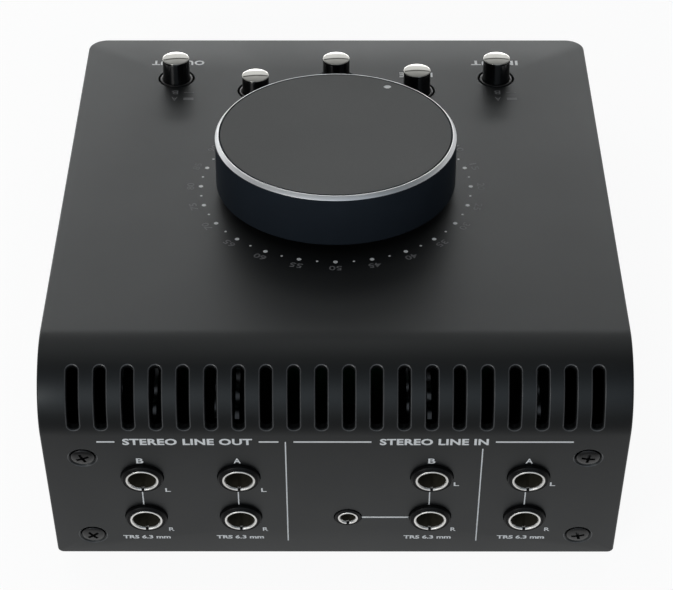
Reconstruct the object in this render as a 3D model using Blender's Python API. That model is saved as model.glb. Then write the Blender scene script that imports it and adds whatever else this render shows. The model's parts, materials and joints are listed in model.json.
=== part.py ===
# Desktop monitor controller: a wedge-shaped case with a large volume knob and five
# latching push buttons on its sloped top, and nine jacks in its rear panel.
#
# Metres, +Z up. The user sits at -Y and the rear panel faces +Y. The origin is on the
# surface that the feet stand on, under the middle of the object.

import math

import bmesh
import bpy
from mathutils import Matrix, Vector
from mathutils.geometry import interpolate_bezier

# Fits and cutting
seat_gap = 0.0003
overrun = 0.0010
weld_distance = 0.0000001
smooth_limit = math.radians(32)

# Facets of round shapes
hole_steps = 16
knob_steps = 56
foot_steps = 14
pin_steps = 10
corner_steps = 4
small_corner_steps = 2
slot_end_steps = 4
bend_steps = 10
nut_sides = 6

# Case
case_width = 0.1370
rear_height = 0.0696
top_length = 0.1588
top_slope = math.radians(16)
cover_sheet = 0.0020
cover_bend_radius = 0.0155
cover_edge_round = 0.0005
cover_front_corner = 0.0045
cover_rear_corner = 0.0020

# Vent slots round the rear bend
vent_count = 20
vent_from_side = 0.0077
vent_width = 0.0026
vent_length = 0.0161
vent_chamfer = 0.0004
vent_past_bend_line = 0.0100

# Base tray, folded from one sheet
tray_sheet = 0.0012
tray_side_inset = 0.0010
tray_front_inset = 0.0015
tray_front_corner = 0.0030
tray_fold_radius = 0.0018
tray_ear_width = 0.0120
tray_ear_drop = 0.0030
tray_flange_length = 0.0080

# Hooks under the front of the cover that catch the tray's front flange
hook_width = 0.0100
hook_sheet = 0.0012
hook_reach = 0.0040
hook_spacing = 0.0700

# Rubber feet
foot_height = 0.0035
foot_radius = 0.0062
foot_base_radius = 0.0056
foot_edge_round = 0.0006
foot_stem_radius = 0.0020
foot_barb_radius = 0.0030
foot_barb_height = 0.0020
foot_from_side = 0.0140
foot_from_front = 0.0150
foot_from_rear = 0.0150

# Rear screws, countersunk with a cross recess
screw_from_side = 0.00925
screw_low = 0.0078
screw_below_bend = 0.0088
screw_head_radius = 0.00325
screw_head_depth = 0.0019
screw_head_dome = 0.0003
screw_shank_radius = 0.0015
screw_length = 0.0085
cross_arm = 0.0034
cross_width = 0.0008
cross_depth = 0.0012

# Volume knob
dial_from_front = 0.07637
knob_radius = 0.0302
knob_lift = 0.0020
knob_height = 0.0140
knob_chamfer_width = 0.0013
knob_chamfer_height = 0.0008
knob_foot_round = 0.0004
knob_wall = 0.0027
knob_web = 0.0020
knob_top_recess = 0.0010
knob_core_plate = 0.0020
knob_hub_radius = 0.0070
knob_hub_clearance = 0.0003
knob_rib = 0.0012
knob_rib_drop = 0.0040
knob_rib_count = 3
knob_rib_inset = 0.0010
pointer_radius = 0.0010
pointer_from_axis = 0.0264
pointer_depth = 0.00025
pointer_rest_angle = math.radians(30)

# Potentiometer
pot_width = 0.0176
pot_depth = 0.0186
pot_edge_round = 0.0012
pot_bush_radius = 0.0045
pot_bush_height = 0.0042
pot_shaft_radius = 0.0030
pot_shaft_flat = 0.0015
pot_shaft_floor = 0.0010
pot_washer_radius = 0.0070
pot_washer_sheet = 0.0006
pot_nut_across = 0.0120
pot_nut_height = 0.0022

# Push buttons
button_count = 5
button_from_side = 0.0252
button_row_from_front = 0.0216
inner_button_from_front = 0.0282
button_radius = 0.00365
button_height = 0.0065
button_travel = 0.0025
button_latch = 0.0015
button_top_rim = 0.0005
button_top_dome = 0.0004
button_peg_radius = 0.0014
button_peg_length = 0.0020
button_flange_radius = 0.0045
button_flange = 0.0010
plunger_radius = 0.0019
plunger_length = 0.0060
guide_wall = 0.0006
guide_plate = 0.0015
guide_margin = 0.0055
switch_side = 0.0085
switch_floor = 0.0010
latched_button = 4

# Control board, parallel to the sloped top
board_sheet = 0.0016
board_from_side = 0.0185
board_depth_below = 0.0153
board_from_front = 0.0150
board_length = 0.0750
board_corner = 0.0020
stud_radius = 0.0030
stud_from_side = 0.0235
stud_front_from_dial = 0.0360
stud_from_board_rear = 0.0056
stud_hole_depth = 0.0080
board_screw_head_radius = 0.0027
board_screw_head = 0.0018
board_screw_length = 0.0060

# Jacks: columns as seen from behind, and two rows above the cover's lower edge
jack_from_side = 0.02278
jack_low = 0.0158
jack_high = 0.03245
jack_body_width = 0.0158
jack_body_height = 0.0144
jack_body_length = 0.0280
jack_body_round = 0.0008
jack_collar_radius = 0.0050
jack_collar_height = 0.0012
jack_collar_round = 0.0005
jack_bore_radius = 0.00325
jack_bore_depth = 0.0280
jack_sleeve_wall = 0.0006
jack_sleeve_length = 0.0070
jack_sleeve_proud = 0.0001
jack_sleeve_slot = 0.0007

# Small stereo jack between the input and output jacks
mini_from_middle = 0.0030
mini_height_up = 0.0155
mini_body_width = 0.0110
mini_body_height = 0.0100
mini_collar_radius = 0.0035
mini_collar_height = 0.0003
mini_collar_round = 0.0002
mini_bore_radius = 0.0018
mini_bore_depth = 0.0150
mini_sleeve_wall = 0.0005
mini_sleeve_length = 0.0040

# Jack board, upright behind the jacks
jack_board_from_side = 0.0135
jack_board_below_jacks = 0.0056
jack_board_above_jacks = 0.0044

# Ribbon cable between the boards
ribbon_width = 0.0180
ribbon_sheet = 0.0010
ribbon_plug_width = 0.0200
ribbon_plug_height = 0.0060
ribbon_plug_depth = 0.0060
ribbon_from_board_edge = 0.0060
ribbon_plug_up = 0.0240
ribbon_steps = 12
ribbon_slack_share = 0.45

# Shares of a piece's own size that shape its curves
head_crown_share = 0.6
dome_shoulder_share = 0.55
dome_rise_share = 0.7

# Worked out from the sizes above
bend_angle = math.pi / 2 + top_slope
bend_setback = cover_bend_radius * math.tan(bend_angle / 2)
slope_run = top_length - bend_setback
bend_run = cover_bend_radius * bend_angle
rear_run = rear_height - bend_setback
sheet_run = slope_run + bend_run + rear_run
vent_centre_run = rear_run + vent_past_bend_line
vent_pitch = (case_width - 2 * vent_from_side) / (vent_count - 1)
button_pitch = (case_width - 2 * button_from_side) / (button_count - 1)
jack_pitch = (case_width / 2 - jack_from_side) / 2
screw_high = rear_run - screw_below_bend
front_reach = top_length * math.cos(top_slope) - cover_edge_round * math.sin(top_slope)
rear_proud = jack_collar_height + jack_sleeve_proud
rear_y = (front_reach - rear_proud) / 2
cover_bottom = foot_height
front_y = rear_y - top_length * math.cos(top_slope)
front_z = cover_bottom + rear_height - top_length * math.sin(top_slope)
bend_centre_y = rear_y - cover_bend_radius
bend_centre_z = cover_bottom + rear_run
under_cover = cover_sheet + seat_gap
board_top = -board_depth_below
switch_top = -(under_cover + guide_plate + seat_gap + button_flange + button_travel + seat_gap)
switch_bottom = board_top + seat_gap
guide_outer_radius = button_radius + seat_gap + guide_wall
jack_sleeve_outer = jack_bore_radius + jack_sleeve_wall
mini_sleeve_outer = mini_bore_radius + mini_sleeve_wall
board_front = board_from_front - dial_from_front
board_rear = board_front + board_length


def bent(point):
    """Where a point of the flat sheet lies once the sheet is bent.

    Flat, x runs across, y from the front edge to the rear panel's lower edge, and z is
    height over the outer face. The bend is taken in straight facets.
    """
    across, run, height = point
    up_slope = Vector((0, math.cos(top_slope), math.sin(top_slope)))
    if run <= slope_run:
        normal = Vector((0, -math.sin(top_slope), math.cos(top_slope)))
        return Vector((across, front_y, front_z)) + run * up_slope + height * normal
    if run >= slope_run + bend_run:
        return Vector((across, rear_y + height, cover_bottom + sheet_run - run))
    facet = (run - slope_run) / bend_run * bend_steps
    first = min(int(facet), bend_steps - 1)
    ends = []
    for line in (first, first + 1):
        angle = bend_angle * (1 - line / bend_steps)
        reach = cover_bend_radius + height
        ends.append(
            Vector((
                across,
                bend_centre_y + reach * math.cos(angle),
                bend_centre_z + reach * math.sin(angle),
            ))
        )
    return ends[0].lerp(ends[1], facet - first)


def rounded(corners, steps=corner_steps):
    """An outline from corners given as x, y and fillet radius."""
    outline = []
    for index, (x, y, radius) in enumerate(corners):
        here = Vector((x, y))
        if not radius:
            outline.append(here)
            continue
        back = (Vector(corners[index - 1][:2]) - here).normalized()
        onward = (Vector(corners[(index + 1) % len(corners)][:2]) - here).normalized()
        half = back.angle(onward) / 2
        centre = here + (back + onward).normalized() * radius / math.sin(half)
        start = here + back * radius / math.tan(half) - centre
        end = here + onward * radius / math.tan(half) - centre
        for step in range(steps + 1):
            outline.append(centre + start.slerp(end, step / steps) * radius)
    return outline


def rectangle(x_low, x_high, y_low, y_high, radius=0):
    """A rectangle's outline with equal fillets."""
    corners = ((x_low, y_low), (x_high, y_low), (x_high, y_high), (x_low, y_high))
    return rounded([(x, y, radius) for x, y in corners], small_corner_steps)


def slot_outline(x, y_low, y_high, radius):
    """A straight slot with round ends, along y."""
    outline = []
    for y, turn in ((y_high - radius, 0), (y_low + radius, math.pi)):
        for step in range(slot_end_steps + 1):
            angle = turn + math.pi * step / slot_end_steps
            outline.append(Vector((x + radius * math.cos(angle), y + radius * math.sin(angle))))
    return outline


def lofted(sections):
    """A closed solid through outlines at rising levels, all with as many points."""
    bm = bmesh.new()
    outline, level = sections[0]
    end = bm.faces.new([bm.verts.new((x, y, level)) for x, y in outline])
    for number, (outline, level) in enumerate(sections[1:]):
        made = bmesh.ops.extrude_face_region(bm, geom=[end])
        if number:
            bmesh.ops.delete(bm, geom=[end], context="FACES_ONLY")
        end = next(item for item in made["geom"] if isinstance(item, bmesh.types.BMFace))
        for vert, (x, y) in zip(end.verts, outline):
            vert.co = (x, y, level)
    bmesh.ops.recalc_face_normals(bm, faces=bm.faces)
    return bm


def prism(outline, low, high):
    """An outline raised from one level to another."""
    return lofted([(outline, low), (outline, high)])


def block(x_low, x_high, y_low, y_high, low, high):
    """A plain block."""
    return prism(rectangle(x_low, x_high, y_low, y_high), low, high)


def turned(profile, steps=hole_steps):
    """A profile of radius and height turned round the z axis."""
    bm = bmesh.new()
    verts = [bm.verts.new((radius, 0, height)) for radius, height in profile]
    edges = [bm.edges.new(pair) for pair in zip(verts, verts[1:])]
    if profile[0][0] or profile[-1][0]:
        edges.append(bm.edges.new((verts[-1], verts[0])))
    bmesh.ops.spin(
        bm,
        geom=verts + edges,
        cent=(0, 0, 0),
        axis=(0, 0, 1),
        angle=2 * math.pi,
        steps=steps,
        use_merge=True,
    )
    bmesh.ops.remove_doubles(bm, verts=bm.verts, dist=weld_distance)
    bmesh.ops.recalc_face_normals(bm, faces=bm.faces)
    return bm


def rod(radius, low, high, steps=hole_steps):
    """A plain round rod on the z axis."""
    return turned([(0, low), (radius, low), (radius, high), (0, high)], steps)


def placed(bm, x=0, y=0, z=0):
    """The same solid moved."""
    bmesh.ops.translate(bm, verts=bm.verts, vec=(x, y, z))
    return bm


def side_on(bm):
    """A solid drawn in x and y and raised in z, stood so that it is drawn in Y and Z."""
    turn = Matrix(((0, 0, 1), (1, 0, 0), (0, 1, 0)))
    bmesh.ops.transform(bm, matrix=turn.to_4x4(), verts=bm.verts)
    return bm


def rounded_edges(bm, radius, chosen, steps=2):
    """Rounds the edges for which chosen(end, end) holds."""
    edges = [edge for edge in bm.edges if chosen(*(vert.co for vert in edge.verts))]
    bmesh.ops.bevel(
        bm, geom=edges, offset=radius, segments=steps, affect="EDGES", profile=0.5
    )
    return bm


def mesh_of(bm, name="piece"):
    """The bmesh as mesh data."""
    mesh = bpy.data.meshes.new(name)
    bm.to_mesh(mesh)
    bm.free()
    return mesh


def combined(base, joins=(), cuts=()):
    """The base with some solids joined to it and others cut from it."""
    body = bpy.data.objects.new("base", mesh_of(base))
    bpy.context.collection.objects.link(body)
    tools = []
    for operation, solids in (("UNION", joins), ("DIFFERENCE", cuts)):
        for solid in solids:
            tool = bpy.data.objects.new("tool", mesh_of(solid))
            tool.hide_render = True
            tool.display_type = "WIRE"
            bpy.context.collection.objects.link(tool)
            tools.append(tool)
            boolean = body.modifiers.new(operation.lower(), "BOOLEAN")
            boolean.operation = operation
            boolean.solver = "EXACT"
            boolean.object = tool
    bpy.context.view_layer.update()
    graph = bpy.context.evaluated_depsgraph_get()
    mesh = bpy.data.meshes.new_from_object(body.evaluated_get(graph))
    for helper in [body] + tools:
        bpy.data.objects.remove(helper)
    return mesh


def gathered(solids):
    """Several solids that don't touch, as one bmesh."""
    whole = bmesh.new()
    for solid in solids:
        mesh = mesh_of(solid)
        whole.from_mesh(mesh)
        bpy.data.meshes.remove(mesh)
    return whole


def material(name, colour, roughness, metallic=0.0):
    """A Principled material."""
    made = bpy.data.materials.new(name)
    made.use_nodes = True
    shader = made.node_tree.nodes["Principled BSDF"]
    shader.inputs["Base Color"].default_value = (*colour, 1)
    shader.inputs["Roughness"].default_value = roughness
    shader.inputs["Metallic"].default_value = metallic
    return made


def empty(name, place, parent=None):
    """A plain empty that others are placed from."""
    made = bpy.data.objects.new(name, None)
    bpy.context.collection.objects.link(made)
    made.parent = parent
    made.matrix_basis = place
    return made


def add_piece(name, mesh, finish, parent, x=0, y=0, z=0):
    """A named piece of the object."""
    if not mesh.materials:
        mesh.shade_smooth()
        mesh.set_sharp_from_angle(angle=smooth_limit)
        mesh.materials.append(finish)
    piece = bpy.data.objects.new(name, mesh)
    bpy.context.collection.objects.link(piece)
    piece.parent = parent
    piece.location = (x, y, z)
    return piece


def button_places():
    """Number, x and y of each button from the knob's axis, from the user's left."""
    middle = (button_count + 1) // 2
    for number in range(1, button_count + 1):
        column = number - middle
        from_front = inner_button_from_front if column % 2 else button_row_from_front
        yield number, column * button_pitch, from_front - dial_from_front


def stud_places():
    """Places of the board studs from the knob's axis."""
    across = case_width / 2 - stud_from_side
    for x in (-across, across):
        for y in (-stud_front_from_dial, board_rear - stud_from_board_rear):
            yield x, y


def jack_places():
    """Name, x as seen from behind and height of each large jack."""
    for column, name in ((-2, "out_b"), (-1, "out_a"), (1, "in_b"), (2, "in_a")):
        for side, height in (("left", jack_high), ("right", jack_low)):
            yield f"{name}_{side}", column * jack_pitch, height


def screw_places():
    """Name, x as seen from behind and height of each rear screw."""
    across = case_width / 2 - screw_from_side
    for side, x in (("left", -across), ("right", across)):
        for level, height in (("lower", screw_low), ("upper", screw_high)):
            yield f"{level}_{side}", x, height


def foot_places():
    """Name and plan place of each foot."""
    across = case_width / 2 - foot_from_side
    for side, x in (("left", -across), ("right", across)):
        for end, y in (("front", front_y + foot_from_front), ("rear", rear_y - foot_from_rear)):
            yield f"{end}_{side}", x, y


def vent_cutter(x):
    """The tool for one vent slot in the flat sheet, flared at the outer face."""
    middle = sheet_run - vent_centre_run
    sections = []
    for grow, level in (
        (0, -cover_sheet - overrun),
        (0, -vent_chamfer),
        (vent_chamfer + overrun, overrun),
    ):
        half = vent_length / 2 + grow
        outline = slot_outline(x, middle - half, middle + half, vent_width / 2 + grow)
        sections.append((outline, level))
    return lofted(sections)


def countersink(x, run):
    """The tool for one screw hole and its countersink in the flat sheet."""
    mouth = screw_head_radius + seat_gap
    hole = screw_shank_radius + seat_gap
    slope = (mouth - hole) / screw_head_depth
    profile = [
        (0, -cover_sheet - overrun),
        (hole, -cover_sheet - overrun),
        (hole, -screw_head_depth),
        (mouth + slope * overrun, overrun),
        (0, overrun),
    ]
    return placed(turned(profile), x, run)


def round_cutter(radius, x, run):
    """The tool for one round hole in the flat sheet."""
    return placed(rod(radius, -cover_sheet - overrun, overrun), x, run)


def board_stud(x, y):
    """A clinched stud under the cover with a screw hole from below."""
    hole = screw_shank_radius + seat_gap
    low = board_top + seat_gap
    profile = [
        (0, low + stud_hole_depth),
        (hole, low + stud_hole_depth),
        (hole, low),
        (stud_radius, low),
        (stud_radius, -cover_sheet / 2),
        (0, -cover_sheet / 2),
    ]
    return placed(turned(profile, pin_steps), x, y + dial_from_front)


def cover_hook(x):
    """A welded hook under the cover: a leg behind the tray's flange and a toe under it."""
    flange_rear = tray_front_inset / math.cos(top_slope) + tray_flange_length
    leg_front = flange_rear + seat_gap
    toe_top = -under_cover - tray_sheet - seat_gap
    corners = (
        (leg_front + hook_sheet, -cover_sheet / 2),
        (leg_front, -cover_sheet / 2),
        (leg_front, toe_top),
        (leg_front - hook_reach, toe_top),
        (leg_front - hook_reach, toe_top - hook_sheet),
        (leg_front + hook_sheet, toe_top - hook_sheet),
    )
    hook = side_on(prism(corners, -hook_width / 2, hook_width / 2))
    return placed(hook, x)


def make_cover(finish):
    """The bent top cover: top, rear bend with its vents, and rear panel."""
    corners = (
        (-case_width / 2, 0, cover_front_corner),
        (case_width / 2, 0, cover_front_corner),
        (case_width / 2, sheet_run, cover_rear_corner),
        (-case_width / 2, sheet_run, cover_rear_corner),
    )
    sheet = prism(rounded(corners), -cover_sheet, 0)
    rounded_edges(sheet, cover_edge_round, lambda a, b: not a.z and not b.z)
    for line in range(bend_steps + 1):
        run = slope_run + bend_run * line / bend_steps
        everything = sheet.verts[:] + sheet.edges[:] + sheet.faces[:]
        bmesh.ops.bisect_plane(
            sheet, geom=everything, plane_co=(0, run, 0), plane_no=(0, 1, 0)
        )
    first_vent = vent_from_side - case_width / 2
    cutters = [vent_cutter(first_vent + number * vent_pitch) for number in range(vent_count)]
    cutters.append(round_cutter(pot_bush_radius + seat_gap, 0, dial_from_front))
    for _, x, y in button_places():
        cutters.append(round_cutter(guide_outer_radius + seat_gap, x, y + dial_from_front))
    for _, x, height in jack_places():
        cutters.append(round_cutter(jack_collar_radius + seat_gap, -x, sheet_run - height))
    cutters.append(
        round_cutter(mini_collar_radius + seat_gap, -mini_from_middle, sheet_run - mini_height_up)
    )
    for _, x, height in screw_places():
        cutters.append(countersink(-x, sheet_run - height))
    studs = [board_stud(x, y) for x, y in stud_places()]
    hooks = [cover_hook(side * hook_spacing / 2) for side in (-1, 1)]
    mesh = combined(sheet, joins=[gathered(studs + hooks)], cuts=[gathered(cutters)])
    whole = bmesh.new()
    whole.from_mesh(mesh)
    bmesh.ops.triangulate(whole, faces=whole.faces)
    for vert in whole.verts:
        vert.co = bent(vert.co)
    whole.to_mesh(mesh)
    whole.free()
    add_piece("top_cover", mesh, finish, None)


def tray_outline(sheet, front, rear):
    """The tray's side view inside the cover, its walls taken in by a sheet."""
    inner_radius = cover_bend_radius - under_cover
    outline = [Vector((rear, cover_bottom + sheet)), Vector((rear, bend_centre_z))]
    for step in range(1, bend_steps + 1):
        angle = bend_angle * step / bend_steps
        y = bend_centre_y + inner_radius * math.cos(angle)
        outline.append(Vector((min(y, rear), bend_centre_z + inner_radius * math.sin(angle))))
    outline.append(under_slope(front, under_cover))
    outline.append(Vector((front, cover_bottom + sheet)))
    return outline


def under_slope(y, depth):
    """The point at a depth under the cover's sloped top, straight below or above y."""
    height = front_z + (y - front_y) * math.tan(top_slope) - depth / math.cos(top_slope)
    return Vector((y, height))


def make_tray(finish):
    """The folded base tray: floor, side walls, front wall with a flange, and rear ears."""
    half = case_width / 2 - tray_side_inset
    front = front_y + tray_front_inset
    rear = rear_y - under_cover
    outer = side_on(prism(tray_outline(0, front, rear), -half, half))

    def fold(a, b):
        low = a.z < cover_bottom + weld_distance and b.z < cover_bottom + weld_distance
        return low and min(a.y, b.y) < rear - weld_distance

    def corner(a, b):
        upright = abs(a.y - front) < weld_distance and abs(b.y - front) < weld_distance
        return upright and abs(a.x - b.x) < weld_distance

    rounded_edges(outer, tray_front_corner, corner, corner_steps)
    rounded_edges(outer, tray_fold_radius, fold)

    inner_half = half - tray_sheet
    inner_front = front + tray_sheet
    inner_rear = rear - tray_sheet
    floor = cover_bottom + tray_sheet
    flange_rear = front + tray_flange_length * math.cos(top_slope)
    flange_depth = under_cover + tray_sheet
    clear = cover_bottom + rear_height + overrun
    room = (
        Vector((inner_front, floor)),
        Vector((inner_rear, floor)),
        Vector((inner_rear, clear)),
        Vector((flange_rear, clear)),
        under_slope(flange_rear, flange_depth),
        under_slope(inner_front, flange_depth),
    )
    inside = side_on(prism(room, -inner_half, inner_half))

    def inner_corner(a, b):
        upright = abs(a.y - inner_front) < weld_distance and abs(b.y - inner_front) < weld_distance
        return upright and abs(a.x - b.x) < weld_distance

    rounded_edges(inside, tray_front_corner - tray_sheet, inner_corner, corner_steps)
    opening_half = inner_half - tray_ear_width
    opening = block(-opening_half, opening_half, inner_rear - overrun, rear + overrun, floor, clear)
    ear_top = bend_centre_z - tray_ear_drop
    above = block(-inner_half, inner_half, inner_rear - overrun, rear + overrun, ear_top, clear)
    hole = screw_shank_radius + seat_gap
    cuts = [inside, opening, above]
    for _, x, height in screw_places():
        drill = rod(hole, -overrun, tray_sheet + overrun, pin_steps)
        bmesh.ops.rotate(drill, verts=drill.verts, matrix=Matrix.Rotation(math.pi / 2, 3, "X"))
        cuts.append(placed(drill, -x, rear, cover_bottom + height))
    for _, x, y in foot_places():
        stem = rod(foot_stem_radius + seat_gap, cover_bottom - overrun, floor + overrun, pin_steps)
        cuts.append(placed(stem, x, y))
    add_piece("base_tray", combined(outer, cuts=cuts), finish, None)


def make_feet(finish):
    """Push-in rubber feet: a pad, a stem through the floor and a barb above it."""
    pad_top = cover_bottom - seat_gap
    barb_low = cover_bottom + tray_sheet + seat_gap
    profile = [
        (0, 0),
        (foot_base_radius - foot_edge_round, 0),
        (foot_base_radius, foot_edge_round),
        (foot_radius, pad_top - foot_edge_round),
        (foot_radius - foot_edge_round, pad_top),
        (foot_stem_radius, pad_top),
        (foot_stem_radius, barb_low),
        (foot_barb_radius, barb_low),
        (foot_stem_radius / 2, barb_low + foot_barb_height),
        (0, barb_low + foot_barb_height),
    ]
    mesh = mesh_of(turned(profile, foot_steps))
    for name, x, y in foot_places():
        add_piece(f"foot_{name}", mesh, finish, None, x, y)


def cross_tool(top):
    """The cutter for a cross recess below a level."""
    bars = []
    for wide, long in ((cross_width, cross_arm), (cross_arm, cross_width)):
        bars.append(block(-wide / 2, wide / 2, -long / 2, long / 2, top - cross_depth, top + overrun))
    return bars


def make_rear_screws(finish, rear_frame):
    """Oval countersunk screws with a cross recess."""
    slope = (screw_head_radius - screw_shank_radius) / screw_head_depth
    rim = -screw_head_dome
    profile = [
        (0, -screw_length),
        (screw_shank_radius - screw_head_dome, -screw_length),
        (screw_shank_radius, -screw_length + screw_head_dome),
        (screw_shank_radius, -screw_head_depth),
        (screw_head_radius + slope * rim, rim),
        (screw_head_radius + slope * rim, rim / 2),
        (screw_head_radius * head_crown_share, screw_head_dome / 2),
        (0, screw_head_dome),
    ]
    mesh = combined(turned(profile), cuts=cross_tool(screw_head_dome))
    for name, x, height in screw_places():
        add_piece(f"rear_screw_{name}", mesh, finish, rear_frame, x, height)


def make_knob(metal, plastic, inlay, knob_axis):
    """The turned knob shell, its moulded core and the inlaid top disc."""
    top = knob_lift + knob_height
    recess = top - knob_top_recess
    ceiling = recess - knob_web
    inner = knob_radius - knob_wall
    rim = knob_radius - knob_chamfer_width
    shell = [
        (0, ceiling),
        (inner, ceiling),
        (inner, knob_lift),
        (knob_radius - knob_foot_round, knob_lift),
        (knob_radius, knob_lift + knob_foot_round),
        (knob_radius, top - knob_chamfer_height),
        (rim, top),
        (rim, recess),
        (0, recess),
    ]
    add_piece("knob_shell", mesh_of(turned(shell, knob_steps)), metal, knob_axis)

    plate_top = ceiling - seat_gap
    plate = inner - seat_gap
    hub_low = pot_bush_height + knob_hub_clearance
    plate_low = plate_top - knob_core_plate
    core = [
        (0, hub_low),
        (knob_hub_radius, hub_low),
        (knob_hub_radius, plate_low),
        (plate, plate_low),
        (plate, plate_top),
        (0, plate_top),
    ]
    bore = pot_shaft_radius + seat_gap
    drill = combined(
        rod(bore, hub_low - overrun, plate_top + overrun),
        cuts=[shaft_flat_tool(seat_gap, hub_low - overrun * 2, plate_top + overrun * 2)],
    )
    bore_tool = bmesh.new()
    bore_tool.from_mesh(drill)
    ribs = []
    for number in range(knob_rib_count):
        rib = block(
            -plate + knob_rib_inset, plate - knob_rib_inset, -knob_rib / 2, knob_rib / 2,
            plate_low - knob_rib_drop, plate_low + knob_core_plate / 2,
        )
        turn = Matrix.Rotation(math.pi * number / knob_rib_count, 3, "Z")
        bmesh.ops.rotate(rib, verts=rib.verts, matrix=turn)
        ribs.append(rib)
    mesh = combined(turned(core, knob_steps), joins=ribs, cuts=[bore_tool])
    add_piece("knob_core", mesh, plastic, knob_axis)

    disc = rod(rim - seat_gap, recess + seat_gap, top, knob_steps)
    dimple = rod(pointer_radius, top - pointer_depth, top + overrun, pin_steps)
    placed(dimple, *pointer_place())
    add_piece("knob_disc", combined(disc, cuts=[dimple]), inlay, knob_axis)


def pointer_place():
    """The pointer's place in the knob's own axes, with the knob turned fully down."""
    angle = pointer_rest_angle
    return -pointer_from_axis * math.sin(angle), -pointer_from_axis * math.cos(angle)


def shaft_flat_tool(gap, low, high):
    """The block that leaves a flat on a shaft, or in a bore round it."""
    flat = pot_shaft_radius - pot_shaft_flat + gap
    reach = pot_shaft_radius + overrun
    return block(-reach, reach, flat, reach, low, high)


def make_pot(body_finish, bright, shaft_finish, panel, knob_axis):
    """The potentiometer clamped under the cover, its washer, nut and shaft."""
    low = board_top + seat_gap
    high = -under_cover
    case = block(-pot_width / 2, pot_width / 2, -pot_depth / 2, pot_depth / 2, low, high)
    rounded_edges(case, pot_edge_round, lambda a, b: a.x == b.x and a.y == b.y)
    bush = rod(pot_bush_radius, high - overrun, pot_bush_height)
    bore = rod(pot_shaft_radius + seat_gap, low + pot_shaft_floor, pot_bush_height + overrun)
    add_piece("pot_body", combined(case, joins=[bush], cuts=[bore]), body_finish, panel)

    hole = pot_bush_radius + seat_gap
    washer_top = seat_gap + pot_washer_sheet
    ring = [(hole, seat_gap), (pot_washer_radius, seat_gap)]
    ring += [(pot_washer_radius, washer_top), (hole, washer_top)]
    add_piece("pot_washer", mesh_of(turned(ring)), bright, panel)

    nut_low = washer_top + seat_gap
    corner = pot_nut_across / 2 / math.cos(math.pi / nut_sides)
    hexagon = rod(corner, nut_low, nut_low + pot_nut_height, nut_sides)
    drill = rod(hole, nut_low - overrun, nut_low + pot_nut_height + overrun)
    add_piece("pot_nut", combined(hexagon, cuts=[drill]), bright, panel)

    shaft_low = low + pot_shaft_floor + seat_gap
    shaft_high = knob_lift + knob_height - knob_top_recess - knob_web - seat_gap * 2
    flat = shaft_flat_tool(0, pot_bush_height, shaft_high + overrun)
    mesh = combined(rod(pot_shaft_radius, shaft_low, shaft_high), cuts=[flat])
    add_piece("pot_shaft", mesh, shaft_finish, knob_axis)


def make_buttons(cap_finish, bright, switch_finish, panel):
    """Push buttons with a pressed-in bright top, and the latching switches below."""
    rim_top = button_height - button_top_dome
    rim_low = rim_top - button_top_rim
    cap_top = rim_low - seat_gap
    flange_top = -under_cover - guide_plate - seat_gap
    flange_low = flange_top - button_flange
    peg_hole = button_peg_radius + seat_gap
    cap = [
        (0, flange_low - plunger_length),
        (plunger_radius, flange_low - plunger_length),
        (plunger_radius, flange_low),
        (button_flange_radius, flange_low),
        (button_flange_radius, flange_top),
        (button_radius, flange_top),
        (button_radius, cap_top),
        (peg_hole, cap_top),
        (peg_hole, rim_low - button_peg_length - seat_gap),
        (0, rim_low - button_peg_length - seat_gap),
    ]
    cap_mesh = mesh_of(turned(cap))
    dome_radius = button_radius * dome_shoulder_share
    top = [
        (0, rim_low - button_peg_length),
        (button_peg_radius, rim_low - button_peg_length),
        (button_peg_radius, rim_low),
        (button_radius, rim_low),
        (button_radius, rim_top),
        (dome_radius, rim_top + button_top_dome * dome_rise_share),
        (0, button_height),
    ]
    top_mesh = mesh_of(turned(top))
    side = switch_side / 2
    case = block(-side, side, -side, side, switch_bottom, switch_top)
    well = plunger_radius + seat_gap
    drill = rod(well, switch_bottom + switch_floor, switch_top + overrun, pin_steps)
    switch_mesh = combined(case, cuts=[drill])
    for number, x, y in button_places():
        pressed = button_latch if number == latched_button else 0
        axis = empty(f"button_{number}_axis", Matrix.Translation((x, y, -pressed)), panel)
        add_piece(f"button_cap_{number}", cap_mesh, cap_finish, axis)
        add_piece(f"button_top_{number}", top_mesh, bright, axis)
        add_piece(f"switch_body_{number}", switch_mesh, switch_finish, panel, x, y)


def make_button_guide(finish, panel):
    """One moulded strip behind the cover with a collar round each button."""
    plate_top = -under_cover
    plate_low = plate_top - guide_plate
    places = [(x, y) for _, x, y in button_places()]
    rows = [y for _, y in places]
    across = (button_count - 1) / 2 * button_pitch + guide_margin
    plate = prism(
        rectangle(-across, across, min(rows) - guide_margin, max(rows) + guide_margin, board_corner),
        plate_low,
        plate_top,
    )
    collar_low = plate_low + guide_plate / 2
    collars = [placed(rod(guide_outer_radius, collar_low, 0), x, y) for x, y in places]
    hole = button_radius + seat_gap
    drills = [placed(rod(hole, plate_low - overrun, overrun), x, y) for x, y in places]
    mesh = combined(plate, joins=[gathered(collars)], cuts=[gathered(drills)])
    add_piece("button_guide", mesh, finish, panel)


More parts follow.
